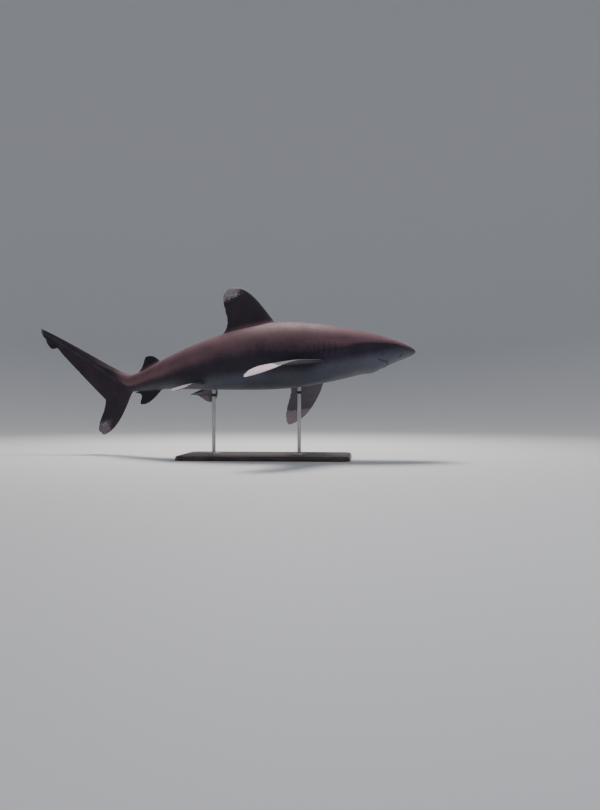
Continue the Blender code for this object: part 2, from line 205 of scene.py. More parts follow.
# ------------------------------------------------------------------ shape functions, on arrays
def side_reach(side, x):
    """Distance from the axis to one side of the body at stations x."""
    a, b = side["round"]
    ahead = side["peak"] * (1 - (1 - np.clip(x, 0, DEEPEST) / DEEPEST) ** a) ** b
    aft = np.clip((x - DEEPEST) / (STALK - DEEPEST), 0, 1)
    fall = ((1 + np.cos(np.pi * aft)) / 2) ** side["fall"]
    thin = np.clip((x - STALK) / (TAIL_END - STALK), 0, 1)
    astern = (side["stalk"] + (side["peak"] - side["stalk"]) * fall) * (1 - 0.9 * thin**0.6)
    return np.where(x <= DEEPEST, ahead, astern)


def blunted(height, x):
    """A height that starts round, and not as an edge, at the tip of the snout."""
    return np.sqrt(height**2 + 2 * SNOUT_BLUNT * np.clip(x, 0, None) * np.exp(-np.abs(x)))


def back_height(x):
    return blunted(side_reach(BACK, x), x)


def belly_depth(x):
    jaw = JAW_DEPTH * np.exp(-(((x - JAW_STATION) / JAW_SPREAD) ** 2))
    return blunted(side_reach(BELLY, x), x) + jaw


def axis_height(x):
    """Height of the body's axis, which dips at the snout and turns up into the upper tail lobe."""
    aft = np.clip((x - PIVOT) / 38, 0, 1)
    past = x - STALK
    rise = np.clip(past + TAIL_EASE, 0, None) ** 2 / (4 * TAIL_EASE)
    eased = np.where(past < TAIL_EASE, rise, past)
    dip = SNOUT_DROOP * np.exp(-np.clip(x, 0, None) / SNOUT_EASE)
    return 0.5 * aft**1.5 + eased * TAIL_RISE - dip


def section_power(x, low):
    """How square a section is: 2 is an ellipse, and the underside of the head is flatter."""
    return np.where(low, 2 + 0.7 * np.exp(-(((x - 8) / 9) ** 2)), 2.05)


def body_surface(x, angle):
    """Points of the body's surface: angle runs from the left flank over the back."""
    low = np.sin(angle) < 0
    power = section_power(x, low)
    across = np.sign(np.cos(angle)) * np.abs(np.cos(angle)) ** (2 / power)
    upright = np.sign(np.sin(angle)) * np.abs(np.sin(angle)) ** (2 / power)
    height = np.where(low, belly_depth(x), back_height(x))
    z = height * upright + axis_height(x)
    return np.stack((x, side_reach(FLANK, x) * across, z), axis=-1)


def underside(x, y):
    """Points of the belly's surface over stations x and offsets y."""
    power = section_power(x, True)
    inside = np.clip(1 - np.abs(y / side_reach(FLANK, x)) ** power, 0, 1)
    return np.stack((x, y, axis_height(x) - belly_depth(x) * inside ** (1 / power)), axis=-1)


def flank(x, z, side):
    """Points of one flank's surface at stations x and heights z over the axis."""
    low = z < 0
    power = section_power(x, low)
    height = np.where(low, belly_depth(x), back_height(x))
    inside = np.clip(1 - np.abs(z / height) ** power, 0, 1)
    y = side * side_reach(FLANK, x) * inside ** (1 / power)
    return np.stack((x, y, z + axis_height(x)), axis=-1)


def spine(x):
    """Where the backbone is at stations x, and how far it has turned to the left."""
    at_x, at_y, turned = np.zeros_like(x), np.zeros_like(x), np.zeros_like(x)
    for way, arcs in ((1, AHEAD), (-1, ASTERN)):
        heading = np.zeros_like(x)
        for start, end, turn in arcs:
            length = abs(end - start)
            run = np.clip(way * (start - x), 0, length)
            half = math.radians(turn) * run / length / 2
            chord = run * np.sinc(half / np.pi)
            at_x += chord * way * np.cos(heading + half)
            at_y += chord * np.sin(heading + half)
            heading += 2 * half
        turned -= way * heading
    return at_x, at_y, turned


def posed(points):
    """Points of the straight fish, in per cent, moved into the pose, in metres."""
    x, y, z = np.asarray(points, float).T
    at_x, at_y, turned = spine(x)
    bent = np.stack((at_x + y * np.sin(turned), at_y + y * np.cos(turned), z), axis=-1)
    turn = np.array(Matrix.Rotation(CLIMB, 3, "Y") @ Matrix.Rotation(BANK, 3, "X"))
    return bent @ turn.T * PER_CENT + np.array((0, 0, AXIS_HEIGHT))


def cubic(controls, t):
    """Points on one cubic curve."""
    a, b, c, d = (np.array(p) for p in controls)
    t = np.asarray(t)[..., None]
    s = 1 - t
    return s**3 * a + 3 * s * s * t * b + 3 * s * t * t * c + t**3 * d


def edge_points(curves, t):
    """Points on a fin's edge: one or more cubics end to end, each ending at its own share."""
    found, start = np.empty((len(t), 2)), 0.0
    for end, controls in curves:
        inside = (t >= start) & (t <= end)
        found[inside] = cubic(controls, (t[inside] - start) / (end - start))
        start = end
    return found


def foil(v):
    """Half thickness across a fin, 1 at its thickest: round in front and fine behind."""
    return 10 * (0.2969 * np.sqrt(v) - 0.126 * v - 0.3516 * v**2 + 0.2843 * v**3 - 0.1015 * v**4)


def nicks(fin, t, seed):
    """How far each point of a trailing edge is worn back by small tears."""
    chance = np.random.default_rng(seed)
    worn = np.zeros_like(t)
    for _ in range(fin["nicks"]):
        at, width = chance.uniform(0.3, 0.93), chance.uniform(0.008, 0.02)
        worn += chance.uniform(1.5, 5.0) * MM * np.exp(-(((t - at) / width) ** 2))
    return worn


def fin_rings(name, spans, chords):
    """Rings round a fin from its base to its tip, each over the top and back under it."""
    fin = FINS[name]
    t = 1 - (1 - np.arange(spans) / spans) ** 1.35
    v = (1 + np.cos(np.pi * np.arange(chords + 1) / chords)) / 2
    lead, trail = edge_points(fin["lead"], t), edge_points(fin["trail"], t)
    chord = np.linalg.norm(trail - lead, axis=1)
    trail[:, 0] -= nicks(fin, t, seed=len(name))
    place = lead[:, None] + v[:, None] * (trail - lead)[:, None]
    aft, out = place[..., 0], place[..., 1]
    thick = (fin["thick"] * (1 - t) ** 0.8 + 0.03 * np.minimum(chord, 3))[:, None]
    off = FIN_EDGE / 2 + foil(v) * thick / 2
    top = fin_place(fin, aft, out, off)
    under = fin_place(fin, aft, out, -off)
    return np.concatenate((top, under[:, ::-1]), axis=1)


def bend_of(fin):
    """A fin's angle where it leaves the body, its bend's radius, and how far out that starts."""
    straight = fin.get("straight", 0) * fin["span"]
    droop = math.radians(fin["droop"]) or 1e-6
    return math.radians(fin["lift"]), (fin["span"] - straight) / droop, straight


def fin_place(fin, aft, out, off):
    """Points (aft, out) of a fin's plane, off it by their own distance, on the straight fish."""
    aft = aft + fin.get("rake", 0) * out / fin["span"]
    x0, y0, z0 = fin["root"]
    lift, radius, straight = bend_of(fin)
    past = np.maximum(out - straight, 0)
    turned = lift - past / radius
    wide = np.minimum(out, straight) * math.cos(lift) + radius * (math.sin(lift) - np.sin(turned))
    high = np.minimum(out, straight) * math.sin(lift) + radius * (np.cos(turned) - math.cos(lift))
    outward = -1 if y0 < 0 else 1
    y = y0 + outward * (wide - off * np.sin(turned))
    return np.stack((x0 + aft, y, z0 + fin["slope"] * aft + high + off * np.cos(turned)), axis=-1)


def fin_tip(name):
    fin = FINS[name]
    aft, out = fin["lead"][-1][1][-1]
    return fin_place(fin, np.array(aft), np.array(out), np.array(0.0))


def out_along(fin, points):
    """How far out along a fin each point lies, and how far aft of its base's front."""
    x0, y0, z0 = fin["root"]
    lift, radius, straight = bend_of(fin)
    if fin["droop"]:
        wide = (np.abs(points[:, 1]) - abs(y0)) / math.cos(lift)
        sine = math.sin(lift) - np.maximum(wide - straight, 0) * math.cos(lift) / radius
        past = (lift - np.arcsin(np.clip(sine, -1, 1))) * radius
        out = np.where(wide > straight, straight + past, wide)
    else:
        out = (points[:, 2] - z0) / math.sin(lift)
    return out, points[:, 0] - x0 - fin.get("rake", 0) * out / fin["span"]


# ------------------------------------------------------------------ meshes
def tube_faces(rows, columns):
    """Quads between each ring of points and the next."""
    here = np.arange(rows * columns).reshape(rows, columns)
    after = np.roll(here, -1, axis=1)
    quads = np.stack((here[:-1], after[:-1], after[1:], here[1:]), axis=-1)
    return quads.reshape(-1, 4).tolist()


def closed_loft(name, rings, first=None, last=None):
    """A closed mesh through rings of points, each end drawn to a point or capped flat."""
    rows, columns = rings.shape[:2]
    points, faces = rings.reshape(-1, 3).tolist(), tube_faces(rows, columns)
    for start, point in ((0, first), ((rows - 1) * columns, last)):
        ring = list(range(start, start + columns))
        if point is None:
            faces.append(ring)
            continue
        points.append(list(point))
        faces += [[ring[k], ring[(k + 1) % columns], len(points) - 1] for k in range(columns)]
    mesh = bpy.data.meshes.new(name)
    mesh.from_pydata(points, [], faces)
    shape = bmesh.new()
    shape.from_mesh(mesh)
    bmesh.ops.recalc_face_normals(shape, faces=shape.faces)
    shape.to_mesh(mesh)
    shape.free()
    return mesh


def shown(name, mesh):
    obj = bpy.data.objects.new(name, mesh)
    bpy.context.scene.collection.objects.link(obj)
    return obj


def points_of(mesh):
    flat = np.empty(len(mesh.vertices) * 3, np.float32)
    mesh.vertices.foreach_get("co", flat)
    return flat.reshape(-1, 3).astype(float)


def put_points(mesh, points):
    mesh.vertices.foreach_set("co", points.astype(np.float32).ravel())
    mesh.update()


def set_in_pose(mesh, points):
    """Moves a mesh of the straight fish into the pose.

    x runs aft on the straight fish, so the pose mirrors it, and its faces are turned round after.
    """
    put_points(mesh, posed(points))
    mesh.flip_normals()


def normals_of(mesh):
    flat = np.empty(len(mesh.vertices) * 3, np.float32)
    mesh.vertex_normals.foreach_get("vector", flat)
    return flat.reshape(-1, 3).astype(float)


def edges_of(mesh):
    flat = np.empty(len(mesh.edges) * 2, np.int32)
    mesh.edges.foreach_get("vertices", flat)
    return flat.reshape(-1, 2)


def relaxed(points, edges, weight, rounds):
    """Points drawn towards the middle of their neighbours, each by its own weight."""
    count = len(points)
    joined = np.bincount(edges.ravel(), minlength=count)[:, None]
    for _ in range(rounds):
        total = np.stack(
            [
                np.bincount(edges[:, 0], points[edges[:, 1], k], count)
                + np.bincount(edges[:, 1], points[edges[:, 0], k], count)
                for k in range(3)
            ],
            axis=-1,
        )
        points = points + weight[:, None] * (total / joined - points)
    return points


def distances(points, curve, reach):
    """Distance from each point to a curve's nearest point, up to reach, and that one's number."""
    tree = KDTree(len(curve))
    for k, place in enumerate(curve):
        tree.insert(place, k)
    tree.balance()
    low, high = curve.min(axis=0) - reach, curve.max(axis=0) + reach
    near = np.flatnonzero(np.all((points > low) & (points < high), axis=1))
    found, number = np.full(len(points), reach, float), np.zeros(len(points), int)
    for k in near:
        _, number[k], found[k] = tree.find(points[k])
    return np.minimum(found, reach), number


def bell(value, width):
    """A smooth bump, 1 at zero."""
    return np.exp(-((value / width) ** 2))


def smooth(value, low, high):
    """A smooth step from 0 at low to 1 at high."""
    share = np.clip((value - low) / (high - low), 0, 1)
    return share * share * (3 - 2 * share)


# ------------------------------------------------------------------ node trees
def add(tree, kind, inputs=None, **settings):
    """A node with its settings, whose inputs take a value or another node's socket."""
    made = tree.nodes.new(kind)
    for key, value in settings.items():
        setattr(made, key, value)
    for key, value in (inputs or {}).items():
        if isinstance(value, bpy.types.NodeSocket):
            tree.links.new(value, made.inputs[key])
        else:
            made.inputs[key].default_value = value
    return made


def mixed(tree, share, first, second, blend="MIX"):
    """A colour between two others."""
    factor, a, b = 0, 6, 7
    made = add(
        tree, "ShaderNodeMix", {factor: share, a: first, b: second},
        data_type="RGBA", blend_type=blend,
    )
    return made.outputs[2]


def worked(tree, operation, first, second=0.0):
    """The result of one sum on two values."""
    made = add(tree, "ShaderNodeMath", {0: first, 1: second}, operation=operation)
    return made.outputs[0]


def stepped(tree, value, low, high):
    """A smooth step from 0 at low to 1 at high."""
    made = add(
        tree, "ShaderNodeMapRange",
        {"Value": value, "From Min": low, "From Max": high},
        interpolation_type="SMOOTHSTEP",
    )
    return made.outputs["Result"]


def attribute(tree, name, output="Fac"):
    return add(tree, "ShaderNodeAttribute", attribute_name=name).outputs[output]


def clouds(tree, place, scale, detail=3.0, rough=0.55):
    """Noise about a half, by place."""
    made = add(
        tree, "ShaderNodeTexNoise",
        {"Vector": place, "Scale": scale, "Detail": detail, "Roughness": rough},
    )
    return made.outputs["Fac"]


def raised(tree, height, distance, strength=1.0, under=None):
    """A bump by height, on top of another bump."""
    inputs = {"Height": height, "Distance": distance, "Strength": strength}
    if under is not None:
        inputs["Normal"] = under
    return add(tree, "ShaderNodeBump", inputs).outputs["Normal"]


def finish(name, roughness, metallic=0.0, coat=0.0, coat_roughness=0.1, specular=0.5):
    """A material with its uniform values set on its shader, and that shader and tree."""
    made = bpy.data.materials.new(name)
    made.use_nodes = True
    shader = made.node_tree.nodes["Principled BSDF"]
    shader.inputs["Roughness"].default_value = roughness
    shader.inputs["Metallic"].default_value = metallic
    shader.inputs["Coat Weight"].default_value = coat
    shader.inputs["Coat Roughness"].default_value = coat_roughness
    shader.inputs["Specular IOR Level"].default_value = specular
    return made, shader, made.node_tree


def colour_of(value):
    return (*value, 1.0)


# ------------------------------------------------------------------ the skin's form
def body_stations():
    """Stations of the body's rings, closest at the snout and close along the head and gills."""
    snout = 0.02 + 1.2 * np.linspace(0, 1, 12) ** 2
    head = np.arange(1.44, 12.0, 0.24)
    gills = np.arange(12.0, 26.0, 0.3)
    trunk = np.arange(26.0, TAIL_END - 0.3, 0.42)
    return np.concatenate((snout, head, gills, trunk))


def body_mesh():
    angles = 2 * np.pi * np.arange(SIDES) / SIDES
    x, angle = np.meshgrid(body_stations(), angles, indexing="ij")
    ends = [np.array((at, 0, float(axis_height(np.array(at))))) for at in (0.0, TAIL_END)]
    return closed_loft("skin_body", body_surface(x, angle), *ends)


def fin_mesh(name):
    fin = FINS[name]
    long = abs(fin["span"])
    spans = int(24 + 2.2 * long)
    chords = 14 if long < 6 else 22
    return closed_loft(name, fin_rings(name, spans, chords), last=fin_tip(name))


def joined_flesh():
    """The body with every fin on it as one closed mesh. Faces of fins keep material number 1."""
    mesh = body_mesh()
    for number in (0, 1):
        mesh.materials.append(bpy.data.materials.new(f"part {number}"))
    body = shown("skin_body", mesh)
    fins = bpy.data.collections.new("fins")
    bpy.context.scene.collection.children.link(fins)
    for name in FINS:
        blade = fin_mesh(name)
        for material in mesh.materials:
            blade.materials.append(material)
        blade.polygons.foreach_set("material_index", np.ones(len(blade.polygons), np.int32))
        fins.objects.link(bpy.data.objects.new(name, blade))
    union = body.modifiers.new("fins", "BOOLEAN")
    union.operation, union.solver = "UNION", "EXACT"
    union.operand_type, union.collection = "COLLECTION", fins
    evaluated = body.evaluated_get(bpy.context.evaluated_depsgraph_get())
    whole = bpy.data.meshes.new_from_object(evaluated)
    for obj in (body, *fins.objects):
        bpy.data.objects.remove(obj)
    bpy.data.collections.remove(fins)
    return whole


def cleaned(mesh):
    """Merges the slivers that a union leaves, and splits faces of many sides.

    The tips of the fins are left as they are: their last rings are finer than any sliver.
    """
    shape = bmesh.new()
    shape.from_mesh(mesh)
    tips = np.array([fin_tip(name) for name in FINS])
    away = distances(points_of(mesh), tips, reach=1.0)[0]
    verts = [vert for vert in shape.verts if away[vert.index] > 0.9]
    bmesh.ops.remove_doubles(shape, verts=verts, dist=0.3 * MM)
    # A dict keeps its order; a set of edges has another one each run, and merges other slivers.
    edges = dict.fromkeys(e for vert in verts if vert.is_valid for e in vert.link_edges)
    bmesh.ops.dissolve_degenerate(shape, edges=list(edges), dist=0.3 * MM)
    many = [face for face in shape.faces if len(face.verts) > 4]
    bmesh.ops.triangulate(shape, faces=many)
    if not all(edge.is_manifold for edge in shape.edges):
        raise RuntimeError("the joined skin isn't closed")
    shape.to_mesh(mesh)
    shape.free()


def seam_points(mesh):
    """Numbers of the points where a fin meets the body or another fin."""
    fin = np.zeros(len(mesh.vertices), bool)
    body = np.zeros(len(mesh.vertices), bool)
    for face in mesh.polygons:
        (fin if face.material_index else body)[list(face.vertices)] = True
    return np.flatnonzero(fin & body)


def fillet_width(x):
    """How far from a seam the skin is drawn smooth: widest at the big fins."""
    return np.interp(x, (24, 40, 50, 66, 76, 84, 90), (1.5, 1.15, 0.6, 0.5, 1.5, 1.0, 0.5))


def draw_fillets(mesh):
    """Turns the creases where fins meet the body into hollow curves."""
    points = points_of(mesh)
    away, _ = distances(points, points[seam_points(mesh)], reach=1.6)
    weight = 0.6 * smooth(1 - away / fillet_width(points[:, 0]), 0, 1)
    put_points(mesh, relaxed(points, edges_of(mesh), weight, rounds=30))


def mouth_line():
    """The line where the lips meet, from corner to corner."""
    y = MOUTH_HALF * np.linspace(-1, 1, 241)
    x = MOUTH_FRONT + MOUTH_LENGTH * np.abs(y / MOUTH_HALF) ** MOUTH_CURVE
    return underside(x, y)


def furrow_line(side):
    """The short labial furrow that runs forward from a corner of the mouth."""
    share = np.linspace(0, 1, 25)
    inward = 1 - 0.11 * share
    x = MOUTH_FRONT + MOUTH_LENGTH * inward**MOUTH_CURVE - 0.05 - 0.26 * share
    return underside(x, side * MOUTH_HALF * inward)


def nostril_line(side):
    """The middle of a nostril, from its inner end out and forward."""
    along = NOSTRIL["half"] * np.linspace(-1, 1, 25)
    x = NOSTRIL["x"] - along * math.sin(NOSTRIL["turn"])
    y = side * (NOSTRIL["y"] + along * math.cos(NOSTRIL["turn"]))
    return underside(x, y)


def gill_station(number, z):
    """Where a gill slit is, at heights z over the axis."""
    station, low, high = GILLS[number]
    share = (z - (low + high) / 2) / ((high - low) / 2)
    return station + GILL_BOW * (share**2 - 0.5) * 0.5 - GILL_LEAN * z, share


def gill_line(number, side):
    _, low, high = GILLS[number]
    z = np.linspace(low, high, 61)
    return flank(gill_station(number, z)[0], z, side)


def eye_frame(side):
    """The centre of an eyeball, and the skin's outward, forward and upward directions there."""
    angle = np.array(EYE_ANGLE if side > 0 else math.pi - EYE_ANGLE)
    at, step = np.array(EYE_STATION), 0.05
    on_skin = body_surface(at, angle)
    along = body_surface(at - step, angle) - body_surface(at + step, angle)
    round_ = body_surface(at, angle + side * step) - body_surface(at, angle - side * step)
    ahead = along / np.linalg.norm(along)
    out = np.cross(ahead, round_) * side
    out /= np.linalg.norm(out)
    return on_skin - np.array((0, side * EYE_SUNK, 0)), out, ahead, np.cross(out, ahead) * side


def eye_opening(angle, radius):
    """Radius of the opening between the lids at each angle: longer than high, and fuller below."""
    return radius * (1 + 0.07 * np.cos(2 * angle) - 0.05 * np.sin(angle))


def fine_parts():
    """Where the skin needs small faces: each line, its band's width, and how many halvings."""
    parts = [(mouth_line(), 0.85, 2)]
    for side in (-1, 1):
        parts.append((eye_frame(side)[0][None], 1.8, 2))
        parts.append((nostril_line(side), 0.65, 3))
        parts.append((furrow_line(side), 0.45, 2))
        for number in range(len(GILLS)):
            parts.append((gill_line(number, side), 0.55, 2))
    return parts


def refine(mesh):
    """Halves the edges of the skin near its fine parts, once or more."""
    shape = bmesh.new()
    shape.from_mesh(mesh)
    for level in range(3):
        points = np.array([v.co for v in shape.verts])
        near = np.zeros(len(points), bool)
        for line, width, levels in fine_parts():
            if level < levels:
                reach = width * 0.72**level
                near |= distances(points, line, reach)[0] < reach
        shape.verts.index_update()
        edges = [e for e in shape.edges if near[e.verts[0].index] and near[e.verts[1].index]]
        bmesh.ops.subdivide_edges(shape, edges=edges, cuts=1, use_grid_fill=True)
        many = [face for face in shape.faces if len(face.verts) > 4]
        bmesh.ops.triangulate(shape, faces=many)
    shape.to_mesh(mesh)
    shape.free()


def flank_over(side, forward, upward):
    """Points of the flank's skin over offsets from an eye, forward and upward."""
    centre, out, ahead, up = eye_frame(side)
    height = np.full(np.shape(forward), EYE_SUNK)
    for _ in range(8):
        place = (
            centre + height[..., None] * out + np.asarray(forward)[..., None] * ahead
            + np.asarray(upward)[..., None] * up
        )
        over_axis = place[..., 2] - axis_height(place[..., 0])
        on_skin = flank(place[..., 0], over_axis, side)
        height = height + (np.abs(on_skin[..., 1]) - np.abs(place[..., 1])) / abs(out[1])
    return place


def cleared_patch(shape, side):
    """Takes the skin away at an eye. Gives the points round the hole, their angles and reach."""
    centre, out, ahead, up = eye_frame(side)
    offset = np.array([vert.co for vert in shape.verts]) - centre
    near = (np.hypot(offset @ ahead, offset @ up) < EYE_PATCH) & (offset @ out > 0)
    shape.verts.index_update()
    gone = [face for face in shape.faces if all(near[vert.index] for vert in face.verts)]
    bmesh.ops.delete(shape, geom=gone, context="FACES")
    edges = [edge for edge in shape.edges if edge.is_boundary]
    verts = list(dict.fromkeys(vert for edge in edges for vert in edge.verts))
    if not edges or len(edges) != len(verts):
        raise RuntimeError("the skin round an eye has no single edge")
    away = np.array([vert.co for vert in verts]) - centre
    angles = np.arctan2(away @ up, away @ ahead)
    order = np.argsort(angles)
    reach = np.hypot(away @ ahead, away @ up)
    return [verts[k] for k in order], angles[order], reach[order]


def lay_rings(mesh, side, opening):
    """Lays the skin at an eye anew in rings, so that the edge of the lids is clean.

    Rings that will turn over the edge and into the socket keep their number in "lid".
    """
    shape = bmesh.new()
    shape.from_mesh(mesh)
    numbers = shape.verts.layers.float
    lid = numbers.get("lid") or numbers.new("lid")
    ring, angles, reach = cleared_patch(shape, side)
    even = angles.mean() + 2 * np.pi * (np.arange(len(ring)) - (len(ring) - 1) / 2) / len(ring)
    outer = (1 - np.linspace(0, 1, 15)[1:-1]) ** 1.35
    inner = np.linspace(1, 0, LID_RINGS + SOCKET_RINGS + 1)[:-1]
    for number, share in enumerate((*outer, *inner)):
        inside = number >= len(outer)
        turn = even if inside else even + (angles - even) * share
        rim = eye_opening(turn, opening)
        radius = rim * share if inside else rim + LID_BAND + (reach - rim - LID_BAND) * share
        places = flank_over(side, radius * np.cos(turn), radius * np.sin(turn))
        laid = [shape.verts.new(place) for place in places]
        for k, vert in enumerate(laid):
            vert[lid] = number - len(outer) + 1 if inside else 0
            after = (k + 1) % len(laid)
            shape.faces.new((ring[k], ring[after], laid[after], vert))
        ring = laid
    middle = shape.verts.new(flank_over(side, np.zeros(1), np.zeros(1))[0])
    middle[lid] = LID_RINGS + SOCKET_RINGS + 1
    for k, vert in enumerate(ring):
        shape.faces.new((vert, ring[(k + 1) % len(ring)], middle))
    bmesh.ops.recalc_face_normals(shape, faces=shape.faces)
    shape.to_mesh(mesh)
    shape.free()


def lip_relief(points, depth):
    """The closed mouth: a slit with an upper lip over it, a lower lip behind, and its furrows."""
    line, reach = mouth_line(), 1.6
    away, number = distances(points, line, reach)
    along = np.abs(np.linspace(-1, 1, len(line)))[number]
    taper = (1 - smooth(along, 0.90, 1.0)) * (away < reach - 0.01)
    y = np.clip(np.abs(points[:, 1]) / MOUTH_HALF, 0, 1)
    behind = points[:, 0] > MOUTH_FRONT + MOUTH_LENGTH * y**MOUTH_CURVE
    aft = away / MM * np.where(behind, 1, -1)
    relief = -depth * bell(aft, LIP_SLIT)
    relief -= np.where(behind, CHIN_DROP * np.exp(-aft / CHIN_FADE), 0)
    for height, place, width in (UPPER_LIP, LOWER_LIP):
        relief += height * bell(aft - place, width)
    relief *= taper
    for side in (-1, 1):
        furrow = distances(points, furrow_line(side), reach=0.6)[0] / MM
        relief -= FURROW_DEPTH * bell(furrow, FURROW_WIDTH)
    return relief * MM


def nostril_relief(points):
    """Oblique nostrils under the snout, each with a rim and a small flap on its front edge."""
    relief = np.zeros(len(points))
    below = points[:, 2] < axis_height(points[:, 0])
    for side in (-1, 1):
        aft, wide = points[:, 0] - NOSTRIL["x"], side * points[:, 1] - NOSTRIL["y"]
        turn = NOSTRIL["turn"]
        along = (wide * math.cos(turn) - aft * math.sin(turn)) / NOSTRIL["half"]
        across = aft * math.cos(turn) + wide * math.sin(turn)
        hole = np.exp(-(along**4)) * bell(across, 2.6 * MM)
        rim = bell(np.hypot(along * 0.8, across / (7 * MM)) - 1, 0.32)
        flap = bell(along + 0.15, 0.42) * bell(across + 2.6 * MM, 1.8 * MM)
        relief += np.where(below, -6.5 * MM * hole + 1.1 * MM * rim + 5.5 * MM * flap, 0)
    return relief


def gill_relief(points, depth):
    """Five gill slits a side: each septum swells and ends in a flap over the slit behind it."""
    over_axis = points[:, 2] - axis_height(points[:, 0])
    across = np.abs(points[:, 1]) / np.maximum(side_reach(FLANK, points[:, 0]), LEAST_REACH)
    on_flank = smooth(across, 0.55, 0.75) * (1 - smooth(across, 1.06, 1.12))
    relief = np.zeros(len(points))
    for number in range(len(GILLS)):
        station, share = gill_station(number, over_axis)
        taper = np.clip(1 - share**2, 0, 1) ** 0.6 * on_flank
        behind = points[:, 0] - station
        fading = np.exp(-np.clip(behind, 0, None) / (3.2 * MM))
        slit = np.where(behind < 0, bell(behind, 0.9 * MM), fading)
        swell = np.where(behind < 0, bell(behind + 6 * MM, 8 * MM), bell(behind, 2 * MM) * 0.57)
        relief += taper * (2.6 * MM * swell - depth * MM * slit)
    return relief


def broad_relief(points):
    """Soft forms: cheeks, the hollow round the eye, the ridge between the fins, tail notches."""
    x, y = points[:, 0], points[:, 1]
    over_axis = points[:, 2] - axis_height(x)
    across = np.abs(y) / np.maximum(side_reach(FLANK, x), LEAST_REACH)
    on_flank = smooth(across, 0.45, 0.8) * (1 - smooth(across, 1.05, 1.15))
    relief = np.zeros(len(points))
    for height, station, half_length, up, half_height in SOFT_FORMS:
        form = bell(x - station, half_length) * bell(over_axis - up, half_height)
        relief += height * form * on_flank
    back = over_axis > 0
    ridge = smooth(x, 43.5, 46) * (1 - smooth(x, 59.5, 62)) * bell(y / MM, RIDGE_WIDTH)
    relief += np.where(back, RIDGE_HEIGHT * ridge, 0)
    notch = bell(x - PIT_STATION - 0.5 * y**2, 0.36) * bell(y, 1.1)
    for upper, depth in PIT_DEPTHS:
        relief -= np.where(back == upper, depth * notch, 0)
    return relief * MM


def lid_profile(angle, opening, lid):
    """Radius and height of each ring over the edge of the lids and down into the socket.

    The lid is a thin fold over the eyeball. Under its lower front edge shows the third lid.
    """
    socket = EYE_RADIUS + EYE_GAP
    rim = eye_opening(angle, opening)
    drawn = MEMBRANE * smooth(np.cos(angle - MEMBRANE_ANGLE), 0.1, 0.85)
    edge = [
        (rim + 0.35 * lid, socket + lid),
        (rim + 0.08 * lid, socket + 0.85 * lid),
        (rim, socket + 0.55 * lid),
        (rim + 0.10 * lid, socket + 0.32 * lid),
        (rim + 0.18 * lid - 0.5 * drawn, socket + 0.28 * lid),
        (rim + 0.26 * lid - drawn, socket + 0.20 * lid),
        (rim + 0.34 * lid - drawn, socket),
    ]
    rings = [(radius, np.sqrt(sphere**2 - radius**2)) for radius, sphere in edge]
    first = np.arcsin(edge[-1][0] / socket)
    for share in np.arange(1, SOCKET_RINGS + 2) / (SOCKET_RINGS + 1):
        polar = first + (math.pi - first) * share
        rings.append((socket * np.sin(polar), socket * np.cos(polar)))
    return np.array([(radius + 0 * angle, height + 0 * angle) for radius, height in rings])


def shape_eye(points, rings, side, opening, lid):
    """Drapes the skin over an eyeball as lids, and lines the socket behind it."""
    centre, out, ahead, up = eye_frame(side)
    offset = points - centre
    height, forward, upward = offset @ out, offset @ ahead, offset @ up
    radial = np.hypot(forward, upward)
    near = (radial < 3 * EYE_RADIUS) & (points[:, 1] * side > 0) & (height > -EYE_RADIUS)
    angle = np.arctan2(upward, forward)
    outer = EYE_RADIUS + EYE_GAP + lid
    dome = np.sqrt(np.clip(outer**2 - radial**2, 0, None)) - 0.25 * MM
    blend = 1.1 * MM
    over = height + blend * np.logaddexp(0, (np.where(radial < outer, dome, -9.0) - height) / blend)
    rim = eye_opening(angle, opening)
    under = smooth(-np.sin(angle), -0.2, 0.5)
    for all_round, below, place, width in LID_FOLDS:
        over -= (all_round + below * under) * MM * bell((radial - rim) / MM - place, width)
    profile = lid_profile(angle, opening, lid)
    number = np.clip(rings.astype(int) - 1, 0, len(profile) - 1)
    which = np.arange(len(points))
    radial = np.where(rings > 0, profile[number, 0, which], radial)
    height = np.where(rings > 0, profile[number, 1, which], over)
    moved = (
        centre + height[:, None] * out
        + (radial * np.cos(angle))[:, None] * ahead + (radial * np.sin(angle))[:, None] * up
    )
    return np.where(near[:, None], moved, points)


def sculpt(mesh, props):
    """Gives the joined skin its head, gills, ridge and notches, on the straight fish."""
    points, normals = points_of(mesh), normals_of(mesh)
    relief = broad_relief(points) + gill_relief(points, props.gill_depth)
    relief += lip_relief(points, props.mouth_depth) + nostril_relief(points)
    points = points + relief[:, None] * normals
    rings = np.empty(len(points), np.float32)
    mesh.attributes["lid"].data.foreach_get("value", rings)
    for side in (-1, 1):
        points = shape_eye(points, rings, side, props.eye_opening * MM, props.lid_thickness * MM)
    put_points(mesh, points)


# ------------------------------------------------------------------ the skin's markings, and its painted light and shade
def paired_fin_share(points):
    """1 on the pectoral and pelvic fins, 0 on the body."""
    x = points[:, 0]
    power = section_power(x, True)
    over_axis = (points[:, 2] - axis_height(x)) / np.maximum(belly_depth(x), LEAST_REACH)
    across = points[:, 1] / np.maximum(side_reach(FLANK, x), LEAST_REACH)
    outside = (np.abs(across) ** power + np.abs(over_axis) ** power) ** (1 / power)
    below = over_axis < 0.3
    return smooth(outside, 1.03, 1.16) * below * (x < PAIRED_END)


def median_fin_share(points):
    """1 on the dorsal, anal and tail fins, 0 on the body."""
    x = points[:, 0]
    over_axis = points[:, 2] - axis_height(x)
    above = smooth(over_axis - back_height(x), 0.0, 1.3)
    under = smooth(-over_axis - belly_depth(x), 0.0, 0.8) * (x > PAIRED_END + 1)
    return np.maximum(above, under)


